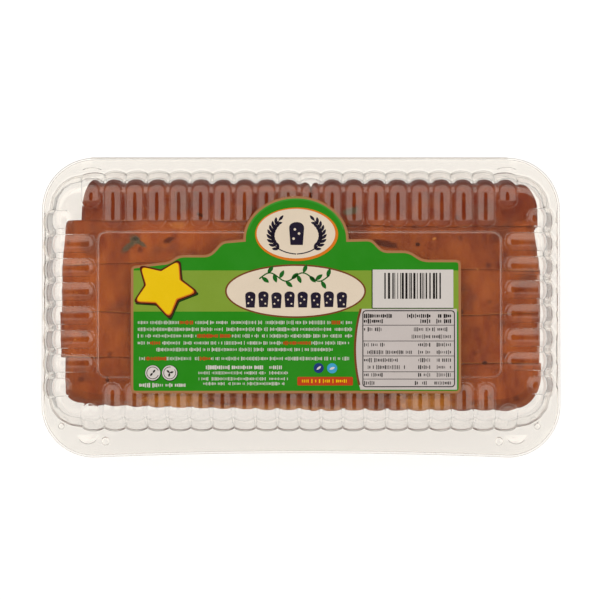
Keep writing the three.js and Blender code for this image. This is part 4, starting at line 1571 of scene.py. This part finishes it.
# %% Ovals, wreath, garland and row of slices
TOP_OVAL = (-2.0, 32.5, 18.9, 12.2)
WIDE_OVAL = (-2.5, 6.6, 32.1, 12.25)
plate("brown", 3, ellipse(*WIDE_OVAL))
plate("ivory", 4, ellipse(*WIDE_OVAL[:2], WIDE_OVAL[2] - 0.8, WIDE_OVAL[3] - 0.8))
plate("orange", 5, ellipse(*TOP_OVAL))
plate("ivory", 6, ellipse(TOP_OVAL[0] - 0.3, TOP_OVAL[1] + 0.3, TOP_OVAL[2] - 1.0, TOP_OVAL[3] - 0.9))


def slice_mark(left, foot, size, level, specks):
    """A small picture of a slice of cake, with specks of fruit left open in it."""
    def at(u, v):
        return left + u * size, foot + v * size

    crown = bezier(at(4.7, 5.2), at(5.0, 7.9), at(-0.3, 7.9), at(0, 5.2), count=10)
    plate("navy", level, [at(0.4, 0), at(4.3, 0), at(4.7, 5.2), *crown],
          *[ellipse(*at(u, v), 0.42 * size, 0.42 * size, 8) for u, v in specks])


def wheat_ear(stalk):
    """A stalk with pairs of grains along it and one at its tip."""
    plate("navy", 7, ribbon(stalk, 0.5))
    for (x, y), (far_x, far_y) in zip(stalk[6:-1:2], stalk[7::2]):
        way = math.atan2(far_y - y, far_x - x)
        for side in (-1, 1):
            plate("navy", 7, leaf(x, y, 3.3, 1.35, way + side * 0.6))
    plate("navy", 7, leaf(*stalk[-1], 3.4, 1.3, way))


for turn in (-1, 1):
    wheat_ear([(TOP_OVAL[0] + turn * x, y)
               for x, y in bezier((-1.6, 23.4), (12.5, 23.6), (14.5, 33), (8.2, 38.6), count=23)])
SPECKS = (((1.4, 2.0), (3.1, 3.6), (1.8, 4.9)), ((3.2, 1.6), (1.6, 3.5), (2.9, 5.3)))
slice_mark(-5.4, 27.6, 1.45, 7, SPECKS[0])

vine = [(x, 13.0 + 1.9 * math.sin((x + 3) * 0.42)) for x in np.linspace(-19, 13, 60)]
plate("leaf", 5, ribbon(vine, 0.6))
for k, (x, y) in enumerate(vine[2:-2:5]):
    plate("leaf", 5, leaf(x, y, 4.2, 1.9, (0.95 if k % 2 else -0.95) + 0.3 * math.cos(k * 1.7)))
SLICE_MARKS, MARK_PITCH = 8, 5.95
for k in range(SLICE_MARKS):
    slice_mark(-25.4 + k * MARK_PITCH, -0.9 + 0.25 * math.sin(k * 2.3), 1.0, 5, SPECKS[k % 2])

# %% Star, panels and discs
STAR = (-62.3, 8.1)
plate("shadow", 3, star(STAR[0] + 0.55, STAR[1] - 0.75, 15.2, 8.6, 63.5))
plate("maroon", 4, star(*STAR, 15.6, 8.8, 63.5, 0.3))
plate("orange", 5, star(*STAR, 14.4, 8.0, 63.5, 0.3))
plate("yellow", 6, star(STAR[0] - 0.15, STAR[1] + 0.2, 13.9, 7.6, 63.5, 0.3))

plate("shadow", 3, rounded_box(32.1, 69.3, -1.4, 16.4, 0.3))
plate("white", 4, rounded_box(32.6, 69.3, -1.0, 16.4, 0.2))
bars = np.random.default_rng(41)
x = 37.9
while x < 63.6:
    width = 0.33 * bars.choice([1, 1, 2, 2, 3])
    plate("black", 5, rounded_box(x, min(x + width, 64.0), 3.1, 14.9, 0.02, 2))
    x += width + 0.33 * bars.choice([1, 1, 2, 3])

bulge = bezier((27.0, -38.2), (22.0, -19.5), (27.2, -1.4), count=18)
plate("brown", 4, ribbon(bulge, 1.0))
plate("panel", 3, [(70.9, -38.2), (70.9, -1.5), (27.2, -1.5), *bulge[::-1], (27.0, -38.2)])
FRAME = (27.9, 70.0, -37.1, -2.1)
plate("black", 4, rounded_box(*FRAME, 1.6), rounded_box(28.35, 69.55, -36.65, -2.55, 1.2)[::-1])
for y in (-8.9, -16.1, -22.9, -30.1, -33.4):
    plate("black", 4, rounded_box(28.3, 69.6, y - 0.14, y + 0.14, 0.05, 2))

for x, mark in ((-67.4, 0), (-59.7, 1)):
    plate("shadow", 3, ellipse(x + 0.1, -30.7, 3.75, 3.75, 40))
    plate("white", 4, ellipse(x, -30.6, 3.4, 3.4, 40))
    plate("black", 5, ribbon([(x + 2.7 * math.cos(t), -30.6 + 2.7 * math.sin(t))
                              for t in np.linspace(0.4 + mark, 5.9 + mark, 30)], 0.3))
    for turn in ((0.9, 4.0), (0.3, 2.4, 4.5))[mark]:
        plate("black", 5, leaf(x, -30.6, 1.9, 0.9, turn))
plate("blue", 3, ellipse(8.05, -28.4, 2.3, 2.3, 32))
plate("white", 4, leaf(7.1, -29.2, 2.6, 1.0, 0.7))
plate("sky", 3, ellipse(14.15, -28.5, 2.3, 2.3, 32))
plate("white", 4, leaf(12.9, -29.0, 2.7, 1.1, 0.35))
plate("red", 3, rounded_box(-1.7, 23.6, -36.3, -32.4, 0.5))

print_mesh = print_patch.mesh("label_print")
for material in INKS.values():
    print_mesh.materials.append(material)
print_mesh.polygons.foreach_set("material_index", print_slots)
work = bmesh.new()
work.from_mesh(print_mesh)
bmesh.ops.remove_doubles(work, verts=work.verts, dist=WELD / 2)
bmesh.ops.recalc_face_normals(work, faces=work.faces)
work.to_mesh(print_mesh)
work.free()
label = new_object("label_print", print_mesh)
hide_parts("label")
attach(label, "pack_lid")
print("label triangles:", triangles_of(label))

# %% [markdown]
# ## Rows of short strokes
# Small print becomes rows of short upright strokes of uneven height, with gaps like those between
# words. Each row is a line. Geometry Nodes turn the lines into curves, resample them at the pitch of
# the strokes, drop some points and stand a small bar on each of the others.

# %% Geometry Nodes: rows of strokes
rows_tree, given, result = new_group("GeometryNodeTree", "Rows of strokes", {
    "Geometry": "Geometry", "Pitch": 0.001, "Width": 0.0004, "Height": 0.001, "Gaps": 0.16,
    "Seed": 0, "Material": "Material"})
curves = add_node(rows_tree, "GeometryNodeMeshToCurve", {"Mesh": given["Geometry"]})
resampled = add_node(rows_tree, "GeometryNodeResampleCurve", {
    "Curve": curves.outputs[0], "Length": given["Pitch"]}, mode="LENGTH")
beads = add_node(rows_tree, "GeometryNodeCurveToPoints", {"Curve": resampled.outputs[0]}, mode="EVALUATED")
word_gap = add_node(rows_tree, "FunctionNodeRandomValue", {
    "Probability": given["Gaps"], "Seed": given["Seed"]}, data_type="BOOLEAN")
kept_beads = add_node(rows_tree, "GeometryNodeDeleteGeometry", {
    "Geometry": beads.outputs[0], "Selection": word_gap.outputs["Value"]}, domain="POINT")
bar_size = add_node(rows_tree, "ShaderNodeCombineXYZ", {
    "X": given["Width"], "Y": given["Height"], "Z": 0.00003})
bar = add_node(rows_tree, "GeometryNodeMeshCube", {"Size": bar_size.outputs[0]})
stood = add_node(rows_tree, "GeometryNodeInstanceOnPoints", {
    "Points": kept_beads.outputs[0], "Instance": bar.outputs[0],
    "Scale": random_vector((0.7, 0.62, 1), (1.5, 1.3, 1), given["Seed"])})
finish_tree(stood.outputs[0], given, result)

# %% Print the rows
def rows_of_strokes(name, colour, level, rows, pitch, width, height, gaps, seed):
    """One object of strokes from rows given as (Y, left, right)."""
    z = CARD_HIGH + PRINT_STEP * level
    vertices = [(x * MM, y * MM, z * MM) for y, left, right in rows for x in (left, right)]
    mesh = bpy.data.meshes.new(name)
    mesh.from_pydata(vertices, [(2 * k, 2 * k + 1) for k in range(len(rows))], [])
    made = run_nodes(new_object(name, mesh), rows_tree, Pitch=pitch * MM, Width=width * MM,
                     Height=height * MM, Gaps=gaps, Seed=seed, Material=INKS[colour])
    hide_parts("label")
    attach(made, "pack_lid")
    return made


def without(rows, breaks):
    """Rows cut open where strokes of another colour stand."""
    left_over = []
    for y, left, right in rows:
        for _, start, end in sorted(b for b in breaks if b[0] == y):
            left_over.append((y, left, start - 0.8))
            left = end + 0.8
        left_over.append((y, left, right))
    return [row for row in left_over if row[2] - row[1] > 1]


BODY_ROWS = [(-7.7, -74.0, 23.0), (-10.8, -74.0, 23.0), (-13.8, -74.0, 23.0), (-17.0, -74.0, 23.0),
             (-20.0, -65.6, 14.2), (-24.1, -73.4, 21.7)]
RED_ROWS = [(-7.7, -55.0, -49.4), (-7.7, 14.2, 17.5), (-13.8, -47.0, -32.0), (-17.0, -68.3, -64.3),
            (-17.0, -7.8, 4.1), (-24.1, -70.4, -61.6), (-24.1, -45.8, -41.5)]
BOLD_ROWS = [(-28.1, -43, -9), (-36.2, -73.2, -52.8)]
SMALL_ROWS = [(-30.6, -46.4, -6.2), (-33.3, -46.4, -6.2), (-35.5, -44.2, -7.8)]
TABLE_BOLD = [(-4.7, 28.9, 40.9), (-7.1, 28.9, 36.9), (-4.7, 48.5, 58.5), (-4.7, 62.6, 67.9),
              (-7.1, 54.5, 58.5), (-7.1, 61.8, 67.9)]
TABLE_ROWS = [(-10.8, 28.9, 36.4), (-17.8, 28.9, 37.8), (-21.2, 30.3, 50.1), (-24.8, 28.9, 43.7),
              (-28.0, 30.5, 47.0), (-31.5, 28.9, 36.8), (-35.2, 28.9, 33.1)]
for y, first, second in ((-10.8, 7, 8), (-14.1, 8, 8), (-17.8, 5, 6), (-21.2, 5, 6), (-24.8, 5, 6),
                         (-28.0, 5, 6), (-31.5, 5, 6), (-35.2, 6.5, 7)):
    TABLE_ROWS += [(y, 58.5 - first, 58.5), (y, 67.9 - second, 67.9)]
# Colour, level and rows, and then the strokes' pitch, width and height, the gaps and the seed
STROKES = {
    "print_rows_white": ("white", 3.2, without(BODY_ROWS, RED_ROWS), 0.68, 0.3, 1.4, 0.13, 3),
    "print_rows_red": ("red", 3.2, RED_ROWS, 0.74, 0.5, 1.45, 0.04, 5),
    "print_rows_bold": ("white", 3.2, BOLD_ROWS, 0.85, 0.5, 1.6, 0.12, 7),
    "print_rows_small": ("white", 3.2, SMALL_ROWS, 0.66, 0.28, 1.2, 0.14, 9),
    "print_table_bold": ("black", 4.2, TABLE_BOLD, 0.85, 0.52, 1.7, 0.06, 11),
    "print_table_rows": ("black", 4.2, TABLE_ROWS, 0.76, 0.36, 1.55, 0.08, 13),
    "print_bar_yellow": ("yellow", 4.2, [(-34.3, 0.6, 20.6)], 0.85, 0.45, 1.5, 0.1, 15),
}
for name, values in STROKES.items():
    made = rows_of_strokes(name, *values)
    print(name, "triangles:", triangles_of(made))
